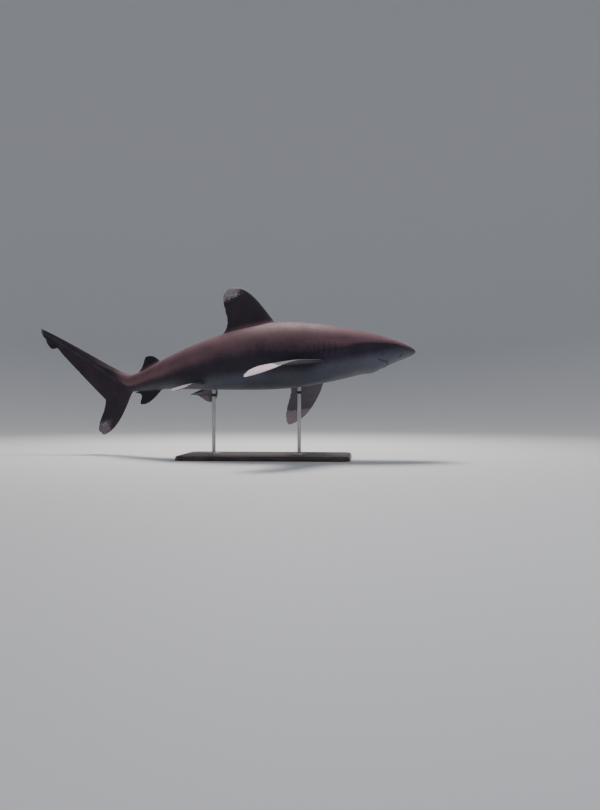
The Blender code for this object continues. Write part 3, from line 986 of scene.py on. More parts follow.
def lit_strip_value(points):
    """Distance above the lower edge of the back's bronze and painted sunlight, in widths of that
    edge's blur.
    """
    x = points[:, 0]
    over_axis = points[:, 2] - axis_height(x)
    reach = np.maximum(np.where(over_axis > 0, back_height(x), belly_depth(x)), LEAST_REACH)
    edge = np.interp(
        x, (0, 2, 3.7, 5.5, 12, 16, 24, 34, 43, 47, 53, 59, 66, 74),
        (-0.06, -0.05, 0.04, 0.2, 0.14, 0.02, 0.06, 0.17, 0.07, -0.02, -0.14, -0.29, -0.33, -0.4),
    )
    width = np.interp(x, (0, 14, 24, 40, 60), (0.05, 0.08, 0.3, 0.3, 0.2))
    return (over_axis / reach - edge) / width


def shade_value(points):
    """Distance below the line between dark flank and paler belly; negative above it."""
    x = points[:, 0]
    share = np.interp(
        x, (0, 3, 6, 14, 24, 34, 52, 70, 74), (0.1, 0.2, 0.33, 0.5, 0.64, 0.62, 0.7, 0.9, 1.3),
    )
    shade = axis_height(x) - points[:, 2] - share * belly_depth(x)
    fin = median_fin_share(points)
    return shade * (1 - fin) - 3 * fin


def tip_value(points, normals):
    """Distance inside the white mottled patches of the fins; negative outside them."""
    x, z = points[:, 0], points[:, 2]
    value = np.full(len(points), -3.0)
    out, aft = out_along(FINS["dorsal_first"], points)
    corner = np.minimum(out - 6.9 - 0.25 * (12.2 - aft), 0.6 * (aft - 8.2))
    value = np.where((x > 30) & (x < 46) & (z > 9), np.maximum(value, corner), value)
    # the white tips are the fins' own, but they reach further in on the upper sides as painted
    # light, and stop sooner beneath as painted shade
    sunlit_upper_side = normals[:, 2] > 0
    for name in ("pectoral_left", "pectoral_right"):
        out, aft = out_along(FINS[name], points)
        here = (points[:, 1] * FINS[name]["root"][1] > 0) & (x > 20) & (x < 45) & (out > 3)
        start = np.where(sunlit_upper_side, np.clip(17.5 - 2.2 * (aft - 6.5), 8.5, 17.5), 16.6)
        value = np.where(here, np.maximum(value, out - start), value)
    pelvic = (x > 47) & (x < PAIRED_END) & (paired_fin_share(points) > 0.5)
    for name in ("pelvic_left", "pelvic_right"):
        out, aft = out_along(FINS[name], points)
        here = pelvic & (points[:, 1] * FINS[name]["root"][1] > 0)
        rear = np.minimum(out - 0.5, aft - 2.2) - np.where(sunlit_upper_side, 0, 2.6)
        value = np.where(here, np.maximum(value, rear), value)
    out, aft = out_along(FINS["tail_lower"], points)
    rear = np.minimum(-z - 8.1, 0.7 * (aft - 5.8))
    value = np.where((x > 74) & (z < -4), np.maximum(value, rear), value)
    return np.where((x > 95) & (z > 14), np.maximum(value, x - 98.1), value)


def dark_value(points):
    """1 on the small dark fins and along the tail's notch, 0 elsewhere."""
    x, z = points[:, 0], points[:, 2]
    small = median_fin_share(points) * smooth(x, 60.5, 62) * (1 - smooth(x, 71.5, 73))
    notch = bell(x - 94.6, 1.1) * bell(z - 12.9, 0.9)
    return np.maximum(small, notch)


def store(mesh, name, values):
    """Keeps a number or a vector for each point of a mesh."""
    vector = values.ndim == 2
    layer = mesh.attributes.new(name, "FLOAT_VECTOR" if vector else "FLOAT", "POINT")
    layer.data.foreach_set("vector" if vector else "value", values.astype(np.float32).ravel())


def store_markings(mesh, points, normals):
    """Stores where each point is on the straight fish, and how far inside each marking or patch of
    painted light and shade it is.
    """
    x = points[:, 0]
    over_axis = points[:, 2] - axis_height(x)
    paired, median = paired_fin_share(points), median_fin_share(points)
    snout = (1 - smooth(x, 5.0, 8.5)) * smooth(x, 0.15, 0.5)
    underneath = over_axis < 0.1 * back_height(x)
    # the downward-facing undersides of the paired fins, which get painted shade
    under = paired * smooth(-normals[:, 2], -0.1, 0.5)
    markings = {
        "fish": points,
        # painted sunlight on the back, and painted shade on the flank under its edge
        "lit_strip": lit_strip_value(points),
        "shade": shade_value(points),
        "tip": tip_value(points, normals),
        "dark": dark_value(points),
        "fin": np.maximum(np.maximum(paired, median), smooth(x, 74.5, 79)),
        "shaded_underfin": under,
        # how far the white tips are dimmed as painted shade, on the fin undersides and the median
        # fins
        "shaded_tips": np.maximum(median * np.where(x < 50, 0.5, 1.0), 1.15 * under),
        "line": over_axis - np.interp(x, (12, 22, 45, 74), (1.9, 1.9, 1.2, 0.4)),
        "pores": snout * np.where(underneath, 1.0, 0.3),
    }
    for name, values in markings.items():
        store(mesh, name, values)


# ------------------------------------------------------------------ materials
def spread(tree, value, low, high, to_low, to_high):
    """A value stretched from one range to another, and held at its ends."""
    made = add(
        tree, "ShaderNodeMapRange",
        {"Value": value, "From Min": low, "From Max": high, "To Min": to_low, "To Max": to_high},
    )
    return made.outputs["Result"]


def scaled(tree, vector, factors):
    """A vector times another, part by part."""
    made = add(tree, "ShaderNodeVectorMath", {0: vector, 1: factors}, operation="MULTIPLY")
    return made.outputs[0]


def toned(tree, colour, tone):
    """A colour made lighter or darker by a value."""
    made = add(tree, "ShaderNodeVectorMath", {0: colour, "Scale": tone}, operation="SCALE")
    return made.outputs[0]


def skin_material(props):
    """Satin shark skin: bronze back with painted sunlight, slate flank and pale belly both darkened
    as painted shade, white mottled fin tips.
    """
    made, shader, tree = finish("shark_skin", 0.6, specular=0.09)
    place = attribute(tree, "fish", "Vector")
    broad, patchy = clouds(tree, place, 0.22, 4.0), clouds(tree, place, 1.1, 5.0, 0.62)
    ragged, fine = clouds(tree, place, 3.2, 4.0, 0.6), clouds(tree, place, 16.0, 3.0, 0.7)

    # the back's bronze lightened as painted sunlight, the flank's slate darkened as painted shade,
    # and fins and belly over them
    lit_strip = worked(tree, "ADD", attribute(tree, "lit_strip"), spread(tree, patchy, 0.3, 0.7, -0.2, 0.2))
    sunlit_back = stepped(tree, lit_strip, -1.0, 1.0)
    colour = mixed(tree, sunlit_back, colour_of(props.shaded_slate_flank_colour), colour_of(props.sunlit_bronze_back_colour))
    colour = mixed(tree, attribute(tree, "fin"), colour, colour_of(props.fin_colour))
    shade = worked(tree, "ADD", attribute(tree, "shade"), spread(tree, patchy, 0.2, 0.8, -0.4, 0.4))
    # the belly's grey is kept off the undersides of the paired fins, which get painted shade
    # instead
    off_fin = worked(tree, "SUBTRACT", 1.0, attribute(tree, "shaded_underfin"))
    pale = worked(tree, "MULTIPLY", stepped(tree, shade, -1.1, 1.3), off_fin)
    # the belly's pale grey, darkened as painted shade
    colour = mixed(tree, pale, colour, colour_of(props.shaded_belly_colour))
    # painted shade under the paired fins, then the near black of the small fins
    for mask, over in (("shaded_underfin", props.shaded_underfin_colour), ("dark", props.dark_colour)):
        colour = mixed(tree, attribute(tree, mask), colour, colour_of(over))

    # white tips with a torn edge, dark islands and mauve stains, dimmed as painted shade on the fin
    # undersides and the median fins
    tear = spread(tree, ragged, 0.25, 0.75, -1.0, 1.0)
    speckle = spread(tree, fine, 0.25, 0.75, -0.4, 0.4)
    edge = worked(tree, "ADD", worked(tree, "ADD", attribute(tree, "tip"), tear), speckle)
    stain = stepped(tree, worked(tree, "MULTIPLY", patchy, fine), 0.22, 0.40)
    shaded_tips = attribute(tree, "shaded_tips")
    clean = worked(tree, "MAXIMUM", stain, spread(tree, shaded_tips, 0.0, 1.0, 0.55, 0.0))
    white = mixed(tree, clean, colour_of(props.tip_stain), colour_of(props.tip_colour))
    # the white tips dimmed as painted shade
    shaded_white = toned(tree, tuple(props.tip_stain), 0.62)
    white = mixed(tree, worked(tree, "MULTIPLY", shaded_tips, 0.8), white, shaded_white)
    colour = mixed(tree, stepped(tree, edge, -0.25, 0.3), colour, white)

    # healed nicks, as sparse pale flecks
    cells = add(tree, "ShaderNodeTexVoronoi", {"Vector": place, "Scale": 0.36, "Randomness": 1.0})
    chance = add(tree, "ShaderNodeSeparateColor", {0: cells.outputs["Color"]}).outputs[0]
    chosen = stepped(tree, chance, 0.70, 0.72)
    fleck = worked(tree, "MULTIPLY", stepped(tree, cells.outputs["Distance"], 0.075, 0.045), chosen)
    colour = mixed(tree, worked(tree, "MULTIPLY", fleck, 0.55), colour, colour_of(props.tip_stain))

    line = spread(tree, worked(tree, "ABSOLUTE", attribute(tree, "line")), 0.02, 0.09, 0.86, 1.0)
    tone = worked(tree, "MULTIPLY", spread(tree, broad, 0.3, 0.7, 0.84, 1.14), line)
    tone = worked(tree, "MULTIPLY", tone, spread(tree, fine, 0.2, 0.8, 0.87, 1.13))
    tree.links.new(toned(tree, colour, tone), shader.inputs["Base Color"])
    tree.links.new(spread(tree, patchy, 0.3, 0.7, 0.52, 0.66), shader.inputs["Roughness"])

    # small skin teeth over soft unevenness, and rays in the fins
    dents = raised(tree, patchy, 0.0014, 0.4)
    wrinkles = clouds(tree, scaled(tree, place, (3.2, 0.45, 0.45)), 1.0, 3.0, 0.5)
    dents = raised(tree, wrinkles, 0.0010, 0.35, dents)
    scales = add(tree, "ShaderNodeTexVoronoi", {"Vector": place, "Scale": 26.0, "Randomness": 0.8})
    grain = raised(tree, scales.outputs["Distance"], 0.0002, 0.45, dents)
    tree.links.new(grain, shader.inputs["Normal"])
    return made


def eye_material(props):
    """A bronze iris round a dark upright pupil, under a wet clear coat."""
    made, shader, tree = finish("eyeball", 0.35, coat=0.45, coat_roughness=0.03, specular=0.1)
    around, off_axis = attribute(tree, "around", "Vector"), attribute(tree, "off_axis")
    fibres = clouds(tree, scaled(tree, around, (7.0, 7.0, 0.8)), 1.0, 4.0, 0.6)
    mottle = clouds(tree, around, 4.0, 3.0)
    grain = spread(tree, fibres, 0.3, 0.7, 0.0, 1.0)
    iris = mixed(tree, grain, colour_of(props.iris_dark), colour_of(props.iris_colour))
    iris = toned(tree, iris, spread(tree, mottle, 0.3, 0.7, 0.7, 1.2))
    ring = stepped(tree, off_axis, 0.56, 0.68)
    iris = mixed(tree, ring, iris, (0.012, 0.011, 0.013, 1.0))
    pupil = stepped(tree, attribute(tree, "pupil"), 1.06, 0.94)
    colour = mixed(tree, pupil, iris, (0.003, 0.003, 0.004, 1.0))
    tree.links.new(colour, shader.inputs["Base Color"])
    tree.links.new(raised(tree, fibres, 0.0003, 0.5), shader.inputs["Normal"])
    return made


def wood_material(props):
    """Dark stained board: long grain, fine open pores and a satin finish."""
    made, shader, tree = finish("stand_wood", 0.4, coat=0.3, coat_roughness=0.25, specular=0.4)
    place = add(tree, "ShaderNodeTexCoord").outputs["Object"]
    drift = clouds(tree, scaled(tree, place, (0.9, 3.0, 3.0)), 1.0, 3.0)
    streaks = clouds(tree, scaled(tree, place, (5.0, 110.0, 110.0)), 1.0, 5.0, 0.65)
    across = add(tree, "ShaderNodeSeparateXYZ", {0: place}).outputs[1]
    wandered = worked(tree, "ADD", across, spread(tree, drift, 0.2, 0.8, -0.09, 0.09))
    rings = worked(tree, "SINE", worked(tree, "MULTIPLY", wandered, 330.0))
    grown_rings = spread(tree, rings, -1.0, 1.0, 0.0, 0.55)
    figure = worked(tree, "ADD", grown_rings, spread(tree, streaks, 0.3, 0.7, 0.0, 0.5))
    colour = mixed(tree, figure, colour_of(props.wood_dark), colour_of(props.wood_light))
    pores = clouds(tree, scaled(tree, place, (45.0, 1500.0, 1500.0)), 1.0, 2.0, 0.5)
    open_pore = stepped(tree, pores, 0.62, 0.68)
    share = worked(tree, "MULTIPLY", open_pore, 0.7)
    colour = mixed(tree, share, colour, (0.008, 0.005, 0.004, 1.0))
    tree.links.new(colour, shader.inputs["Base Color"])
    tree.links.new(spread(tree, streaks, 0.3, 0.7, 0.34, 0.5), shader.inputs["Roughness"])
    sunk = worked(tree, "SUBTRACT", streaks, open_pore)
    tree.links.new(raised(tree, sunk, 0.0002, 0.5), shader.inputs["Normal"])
    return made


def steel_material(name, streaks, tone=1.0):
    """Brushed steel, with its fine lines drawn out along one way."""
    made, shader, tree = finish(name, 0.32, metallic=1.0)
    shader.inputs["Anisotropic"].default_value = 0.4
    place = add(tree, "ShaderNodeTexCoord").outputs["Object"]
    lines = clouds(tree, scaled(tree, place, streaks), 1.0, 4.0, 0.7)
    smears = clouds(tree, place, 14.0, 3.0)
    share = spread(tree, lines, 0.3, 0.7, 0.0, 1.0)
    colour = mixed(tree, share, (0.40, 0.40, 0.41, 1.0), (0.60, 0.60, 0.60, 1.0))
    smeared = toned(tree, colour, spread(tree, smears, 0.3, 0.7, 0.9 * tone, 1.05 * tone))
    tree.links.new(smeared, shader.inputs["Base Color"])
    brushed = spread(tree, lines, 0.3, 0.7, 0.24, 0.38)
    rough = worked(tree, "ADD", brushed, spread(tree, smears, 0.3, 0.7, -0.04, 0.06))
    tree.links.new(rough, shader.inputs["Roughness"])
    tree.links.new(raised(tree, lines, 0.00006, 0.4), shader.inputs["Normal"])
    return made


def plain_material(name, first, second, roughness, scale):
    """A dull material of two close tones."""
    made, shader, tree = finish(name, roughness, specular=0.35)
    place = add(tree, "ShaderNodeTexCoord").outputs["Object"]
    mottle = clouds(tree, place, scale, 3.0)
    share = spread(tree, mottle, 0.3, 0.7, 0.0, 1.0)
    colour = mixed(tree, share, colour_of(first), colour_of(second))
    tree.links.new(colour, shader.inputs["Base Color"])
    tree.links.new(raised(tree, mottle, 0.0001, 0.4), shader.inputs["Normal"])
    return made


# ------------------------------------------------------------------ settings
class SharkSkinSettings(bpy.types.PropertyGroup):
    """Sizes and colours of the skin."""

    mouth_depth: FloatProperty(
        name="Mouth depth", description="Depth of the closed mouth's slit, in millimetres",
        default=7.0, min=0.0, max=20.0,
    )
    gill_depth: FloatProperty(
        name="Gill depth", description="Depth of the gill slits, in millimetres",
        default=5.5, min=0.0, max=20.0,
    )
    eye_opening: FloatProperty(
        name="Eye opening", description="Radius of the opening between the lids, in millimetres",
        default=10.7, min=4.0, max=12.5,
    )
    lid_thickness: FloatProperty(
        name="Lid thickness", description="Thickness of the lids, in millimetres",
        default=1.3, min=0.3, max=3.0,
    )
    # the back's own bronze, lightened as painted sunlight
    sunlit_bronze_back_colour: FloatVectorProperty(
        name="Back", description="Bronze grey of the back", subtype="COLOR", size=3,
        default=(0.165, 0.094, 0.106), min=0, max=1,
    )
    # the flank's own slate, darkened as painted shade
    shaded_slate_flank_colour: FloatVectorProperty(
        name="Flank", description="Slate of the flanks", subtype="COLOR", size=3,
        default=(0.036, 0.030, 0.042), min=0, max=1,
    )
    # the belly's own pale grey, darkened and cooled as painted shade
    shaded_belly_colour: FloatVectorProperty(
        name="Belly", description="Cool pale grey of the belly", subtype="COLOR", size=3,
        default=(0.092, 0.098, 0.124), min=0, max=1,
    )
    fin_colour: FloatVectorProperty(
        name="Fins", description="Dark slate of the fins", subtype="COLOR", size=3,
        default=(0.046, 0.036, 0.046), min=0, max=1,
    )
    dark_colour: FloatVectorProperty(
        name="Small fins", description="Near black of the second dorsal and anal fins",
        subtype="COLOR", size=3, default=(0.026, 0.021, 0.028), min=0, max=1,
    )
    # darkened as painted shade under the paired fins
    shaded_underfin_colour: FloatVectorProperty(
        name="Under the fins", description="Dusky grey under the pectoral and pelvic fins",
        subtype="COLOR", size=3, default=(0.058, 0.054, 0.070), min=0, max=1,
    )
    tip_colour: FloatVectorProperty(
        name="Fin tips", description="Pinkish white of the fin tips", subtype="COLOR", size=3,
        default=(0.88, 0.755, 0.79), min=0, max=1,
    )
    tip_stain: FloatVectorProperty(
        name="Tip stains", description="Mauve mottling in the white", subtype="COLOR", size=3,
        default=(0.25, 0.20, 0.235), min=0, max=1,
    )


# ------------------------------------------------------------------ operators
class MODEL_OT_shark_skin(bpy.types.Operator):
    """Make the one skin that covers body and fins"""

    bl_idname = "model.shark_skin"
    bl_label = "Skin"

    def execute(self, context):
        props = context.scene.shark_skin
        mesh = joined_flesh()
        cleaned(mesh)
        draw_fillets(mesh)
        refine(mesh)
        for side in (-1, 1):
            lay_rings(mesh, side, props.eye_opening * MM)
        sculpt(mesh, props)
        points, normals = points_of(mesh), normals_of(mesh)
        mesh.materials.clear()
        mesh.materials.append(skin_material(props))
        mesh.polygons.foreach_set("material_index", np.zeros(len(mesh.polygons), np.int32))
        store_markings(mesh, points, normals)
        set_in_pose(mesh, points)
        mesh.shade_smooth()
        mesh.name = "shark_skin"
        skin = shown("shark_skin", mesh)
        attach(skin, "root")
        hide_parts(*FLESH_NODES)
        return {"FINISHED"}


class SharkEyeSettings(bpy.types.PropertyGroup):
    """Sizes and colours of the eyes."""

    cornea: FloatProperty(
        name="Cornea", description="How far the cornea stands out, in millimetres", default=0.9,
        min=0.0, max=2.0,
    )
    pupil_width: FloatProperty(
        name="Pupil width", description="Half width of the pupil, in radii of the eyeball",
        default=0.29, min=0.02, max=0.5,
    )
    pupil_height: FloatProperty(
        name="Pupil height", description="Half height of the pupil, in radii of the eyeball",
        default=0.44, min=0.02, max=0.6,
    )
    iris_colour: FloatVectorProperty(
        name="Iris", description="Bronze of the iris", subtype="COLOR", size=3,
        default=(0.050, 0.036, 0.023), min=0, max=1,
    )
    iris_dark: FloatVectorProperty(
        name="Iris shade", description="Darker brown between the iris's fibres",
        subtype="COLOR", size=3, default=(0.014, 0.010, 0.008), min=0, max=1,
    )


class MODEL_OT_shark_eyes(bpy.types.Operator):
    """Make both eyeballs"""

    bl_idname = "model.shark_eyes"
    bl_label = "Eyes"

    def execute(self, context):
        props = context.scene.shark_eyes
        material = eye_material(props)
        for side, name in ((1, "left"), (-1, "right")):
            eye = shown(f"eyeball_{name}", eyeball_mesh(f"eyeball_{name}", side, props))
            eye.data.materials.append(material)
            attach(eye, "root")
            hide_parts(f"eye_{name}")
        return {"FINISHED"}


def eyeball_mesh(name, side, props):
    """A ball whose front third stands out as the cornea."""
    centre, out, ahead, up = eye_frame(side)
    front = np.linspace(0, math.radians(50), 27)[1:]
    rear = np.linspace(math.radians(50), math.pi, 15)[1:-1]
    turns = 2 * np.pi * np.arange(48) / 48
    polar, turn = np.meshgrid(np.concatenate((front, rear)), turns, indexing="ij")
    radius = EYE_RADIUS + props.cornea * MM * (1 - smooth(polar, 0.1, math.radians(42)))
    wide = radius * np.sin(polar)
    rings = centre + (radius * np.cos(polar))[..., None] * out
    rings = rings + (wide * np.cos(turn))[..., None] * ahead + (wide * np.sin(turn))[..., None] * up
    tip = centre + (EYE_RADIUS + props.cornea * MM) * out
    mesh = closed_loft(name, rings, tip, centre - EYE_RADIUS * out)
    points = points_of(mesh)
    offset = (points - centre) / EYE_RADIUS
    forward, upward = offset @ ahead, offset @ up
    radial = np.hypot(forward, upward)
    unit = np.maximum(radial, 1e-6)
    store(mesh, "around", np.stack((forward / unit, upward / unit, radial), axis=-1))
    store(mesh, "off_axis", np.where(offset @ out > 0, radial, 1.0))
    store(mesh, "pupil", np.hypot(forward / props.pupil_width, upward / props.pupil_height))
    set_in_pose(mesh, points)
    mesh.shade_smooth()
    return mesh


class SnoutPoreSettings(bpy.types.PropertyGroup):
    """Sizes of the snout's pores."""

    pore_size: FloatProperty(
        name="Pore size", description="Radius of a pore's rim", default=0.0009, min=0.0002,
        unit="LENGTH", precision=4,
    )
    pore_spacing: FloatProperty(
        name="Pore spacing", description="Least distance between pores", default=0.0055, min=0.002,
        unit="LENGTH", precision=4,
    )
    pore_seed: IntProperty(name="Pore seed", description="Seed of the pores' places", default=7)


class MODEL_OT_shark_pores(bpy.types.Operator):
    """Set the pores of the shark's electric sense over its snout"""

    bl_idname = "model.shark_pores"
    bl_label = "Pores"

    def execute(self, context):
        props = context.scene.shark_pores
        rim = plain_material("pore_rim", (0.046, 0.041, 0.049), (0.034, 0.030, 0.037), 0.5, 900.0)
        # the pores' mouths are painted near black as the shade inside each hole
        dark = plain_material("pore_hole_shade", (0.012, 0.010, 0.013), (0.03, 0.025, 0.03), 0.4, 900.0)
        snout = shown("snout_pores", bpy.data.objects["shark_skin"].data.copy())
        # Turned inwards, the faces sink the pores, and only their flat bases show.
        snout.data.flip_normals()
        pores = grown(
            snout, pore_tree(rim, dark),
            {"Pore size": props.pore_size, "Spacing": props.pore_spacing, "Seed": props.pore_seed},
        )
        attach(pores, "root")
        return {"FINISHED"}


def grown(obj, tree, values):
    """Runs a node tree on an object, its named inputs set, and keeps the result as a plain mesh."""
    modifier = obj.modifiers.new(tree.name, "NODES")
    modifier.node_group = tree
    for item in tree.interface.items_tree:
        if item.in_out == "INPUT" and item.name in values:
            modifier[item.identifier] = values[item.name]
    evaluated = obj.evaluated_get(bpy.context.evaluated_depsgraph_get())
    mesh = bpy.data.meshes.new_from_object(evaluated)
    if not mesh.polygons:
        raise RuntimeError(f"{tree.name} made no faces")
    obj.modifiers.clear()
    obj.data = mesh
    mesh.name = obj.name
    return obj


def empty_tree(name, inputs):
    """A geometry tree with named inputs, its group input, and the node that its result goes to."""
    tree = bpy.data.node_groups.new(name, "GeometryNodeTree")
    tree.interface.new_socket("Geometry", in_out="INPUT", socket_type="NodeSocketGeometry")
    for label, kind, value in inputs:
        tree.interface.new_socket(label, in_out="INPUT", socket_type=kind).default_value = value
    tree.interface.new_socket("Geometry", in_out="OUTPUT", socket_type="NodeSocketGeometry")
    start = tree.nodes.new("NodeGroupInput")
    return tree, start.outputs, tree.nodes.new("NodeGroupOutput")


def pore_tree(rim, dark):
    """Small rims round a mouth painted near black as the shade inside the hole, spread over a skin
    by its pores attribute.

    They stand on the side that the faces look to.
    """
    tree, given, result = empty_tree(
        "snout_pores",
        (
            ("Pore size", "NodeSocketFloat", 0.0009),
            ("Spacing", "NodeSocketFloat", 0.0055),
            ("Seed", "NodeSocketInt", 7),
        ),
    )
    where = add(tree, "GeometryNodeInputNamedAttribute", {"Name": "pores"}, data_type="FLOAT")
    spots = add(
        tree, "GeometryNodeDistributePointsOnFaces",
        {
            "Mesh": given["Geometry"], "Distance Min": given["Spacing"], "Density Max": 40000.0,
            "Density Factor": where.outputs[0], "Seed": given["Seed"],
        },
        distribute_method="POISSON",
    )
    parts = []
    for share, top, height in ((1.0, 0.72, 0.22), (0.55, 0.5, 0.3)):
        button = add(
            tree, "GeometryNodeMeshCone",
            {
                "Vertices": 8,
                "Radius Bottom": worked(tree, "MULTIPLY", given["Pore size"], share),
                "Radius Top": worked(tree, "MULTIPLY", given["Pore size"], share * top),
                "Depth": worked(tree, "MULTIPLY", given["Pore size"], height),
            },
        )
        marked = add(
            tree, "GeometryNodeStoreNamedAttribute",
            {"Geometry": button.outputs["Mesh"], "Name": "mouth", "Value": share < 1},
            data_type="BOOLEAN", domain="FACE",
        )
        parts.append(marked)
    both = tree.nodes.new("GeometryNodeJoinGeometry")
    for part in parts:
        tree.links.new(part.outputs[0], both.inputs[0])
    size = add(
        tree, "FunctionNodeRandomValue", {2: 0.6, 3: 1.25, "Seed": given["Seed"]},
        data_type="FLOAT",
    )
    placed = add(
        tree, "GeometryNodeInstanceOnPoints",
        {
            "Points": spots.outputs["Points"], "Instance": both.outputs[0],
            "Rotation": spots.outputs["Rotation"], "Scale": size.outputs[1],
        },
    )
    real = add(tree, "GeometryNodeRealizeInstances", {"Geometry": placed.outputs[0]})
    coated = add(tree, "GeometryNodeSetMaterial", {"Geometry": real.outputs[0], "Material": rim})
    mouth = add(tree, "GeometryNodeInputNamedAttribute", {"Name": "mouth"}, data_type="BOOLEAN")
    coated = add(
        tree, "GeometryNodeSetMaterial",
        {"Geometry": coated.outputs[0], "Selection": mouth.outputs[0], "Material": dark},
    )
    tree.links.new(coated.outputs[0], result.inputs[0])
    return tree


class SharkStandSettings(bpy.types.PropertyGroup):
    """Sizes and colours of the stand."""

    moulding: FloatProperty(
        name="Moulding", description="Width of the moulded edge round the board", default=0.010,
        min=0.002, unit="LENGTH",
    )
    screws: IntProperty(name="Screws", description="Screws in each flange", default=4, min=2)
    wood_dark: FloatVectorProperty(
        name="Dark grain", description="Darker tone of the board", subtype="COLOR", size=3,
        default=(0.020, 0.013, 0.010), min=0, max=1,
    )
    wood_light: FloatVectorProperty(
        name="Light grain", description="Lighter tone of the board", subtype="COLOR", size=3,
        default=(0.085, 0.050, 0.031), min=0, max=1,
    )


class MODEL_OT_shark_stand(bpy.types.Operator):
    """Make the board, the flanges with their screws, the rods and their collars"""

    bl_idname = "model.shark_stand"
    bl_label = "Stand"

    def execute(self, context):
        props = context.scene.shark_stand
        board = board_piece(props)
        board.data.materials.append(wood_material(props))
        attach(board, "root")
        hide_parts("stand_base")
        along = steel_material("rod_steel", (900.0, 900.0, 12.0))
        faced = steel_material("flange_steel", (300.0, 300.0, 300.0))
        blackened = steel_material("collar_steel", (300.0, 300.0, 300.0), 0.09)
        for end in ("front", "rear"):
            low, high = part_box(f"stand_rod_{end}")
            rod = turned(f"rod_{end}", rod_profile(low, high), low, high, along)
            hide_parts(f"stand_rod_{end}")
            collar = turned(f"collar_{end}", collar_profile(low, high), low, high, blackened)
            low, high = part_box(f"stand_flange_{end}")
            flange = turned(f"flange_{end}", flange_profile(low, high), low, high, faced)
            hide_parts(f"stand_flange_{end}")
            screws = flange_screws(f"screws_{end}", low, high, props.screws, faced)
            for piece in (rod, collar, flange, screws):
                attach(piece, "root")
        return {"FINISHED"}


def board_piece(props):
    """The board: a slab with round corners, a moulded upper edge and a small foot."""
    low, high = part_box("stand_base")
    half_length, half_width = (high.x - low.x) / 2, (high.y - low.y) / 2
    centre = (low + high) / 2
    corner, wide, top = 0.05, props.moulding, high.z
    profile = [(0.003, 0.0), (0.003, 0.002), (0.0005, 0.003), (0.0, 0.0045)]
    profile += [(0.0, top - wide * 1.15), (0.0008, top - wide * 1.05), (0.0025, top - wide * 1.02)]
    for a in np.linspace(0, math.pi / 2, 9):
        inset = 0.0025 + (wide - 0.0025) * (1 - math.cos(a))
        profile.append((inset, top - 0.95 * wide * (1 - math.sin(a))))
    rings = []
    for inset, z in profile:
        ring = []
        for quarter in range(4):
            x_way, y_way = ((1, 1), (-1, 1), (-1, -1), (1, -1))[quarter]
            for a in np.linspace(0, math.pi / 2, 13):
                a += quarter * math.pi / 2
                reach = corner - inset
                ring.append((
                    centre.x + x_way * (half_length - corner) + reach * math.cos(a),
                    centre.y + y_way * (half_width - corner) + reach * math.sin(a),
                    z,
                ))
        rings.append(ring)
    mesh = closed_loft("board", np.array(rings))
    mesh.shade_smooth()
    mesh.set_sharp_from_angle(angle=math.radians(28))
    return shown("board", mesh)


def turned(name, profile, low, high, material, sides=64):
    """A turned piece on the upright axis of a box: its profile runs from the bottom to the top."""
    centre = (low + high) / 2
    turns = 2 * np.pi * np.arange(sides) / sides
    rings = [
        [(centre.x + r * math.cos(a), centre.y + r * math.sin(a), z) for a in turns]
        for r, z in profile
    ]
    first, last = (centre.x, centre.y, profile[0][1]), (centre.x, centre.y, profile[-1][1])
    mesh = closed_loft(name, np.array(rings), first, last)
    mesh.shade_smooth()
    mesh.set_sharp_from_angle(angle=math.radians(35))
    mesh.materials.append(material)
    return shown(name, mesh)


def rod_profile(low, high):
    """A straight rod with a fine bevel at its foot and a shallow turned groove above the flange."""
    radius = (high.x - low.x) / 2
    foot = low.z
    return [
        (radius - 0.0008, foot), (radius, foot + 0.0008), (radius, foot + 0.016),
        (radius - 0.0007, foot + 0.0167), (radius - 0.0007, foot + 0.0187), (radius, foot + 0.0194),
        (radius, high.z),
    ]


def collar_profile(low, high):
    """A blackened collar just under the belly, where the rod enters it."""
    radius, where = (high.x - low.x) / 2, high.z - 0.030
    return [
        (radius + 0.0002, where - 0.009), (radius + 0.0045, where - 0.009),
        (radius + 0.006, where - 0.0078), (radius + 0.0065, where - 0.006),
        (radius + 0.0065, where + 0.006), (radius + 0.0002, where + 0.006),
    ]


def flange_profile(low, high):
    """A flat flange with a raised hub and an eased rim."""
    radius, foot, top = (high.x - low.x) / 2, low.z, high.z
    face = foot + 0.55 * (top - foot)
    return [
        (radius - 0.0006, foot), (radius, foot + 0.0006), (radius, face - 0.0014),
        (radius - 0.0005, face - 0.0004), (radius - 0.0016, face), (radius * 0.52, face),
        (radius * 0.47, face + 0.0007), (radius * 0.44, top - 0.0008), (radius * 0.42, top),
        (0.0103, top), (0.0102, face),
    ]


def flange_screws(name, low, high, count, material):
    """Countersunk screws with hexagon sockets, in a circle round a flange."""
    centre = (low + high) / 2
    face = low.z + 0.55 * (high.z - low.z)
    mesh = bpy.data.meshes.new(name)
    base = shown(name, mesh)
    return grown(
        base, screw_tree(material),
        {
            "Count": count, "Circle": (high.x - low.x) / 2 * 0.75, "Head": 0.0034,
            "Centre": (centre.x, centre.y, face - 0.0004), "Seed": int(1000 * (centre.x + 1)),
        },
    )


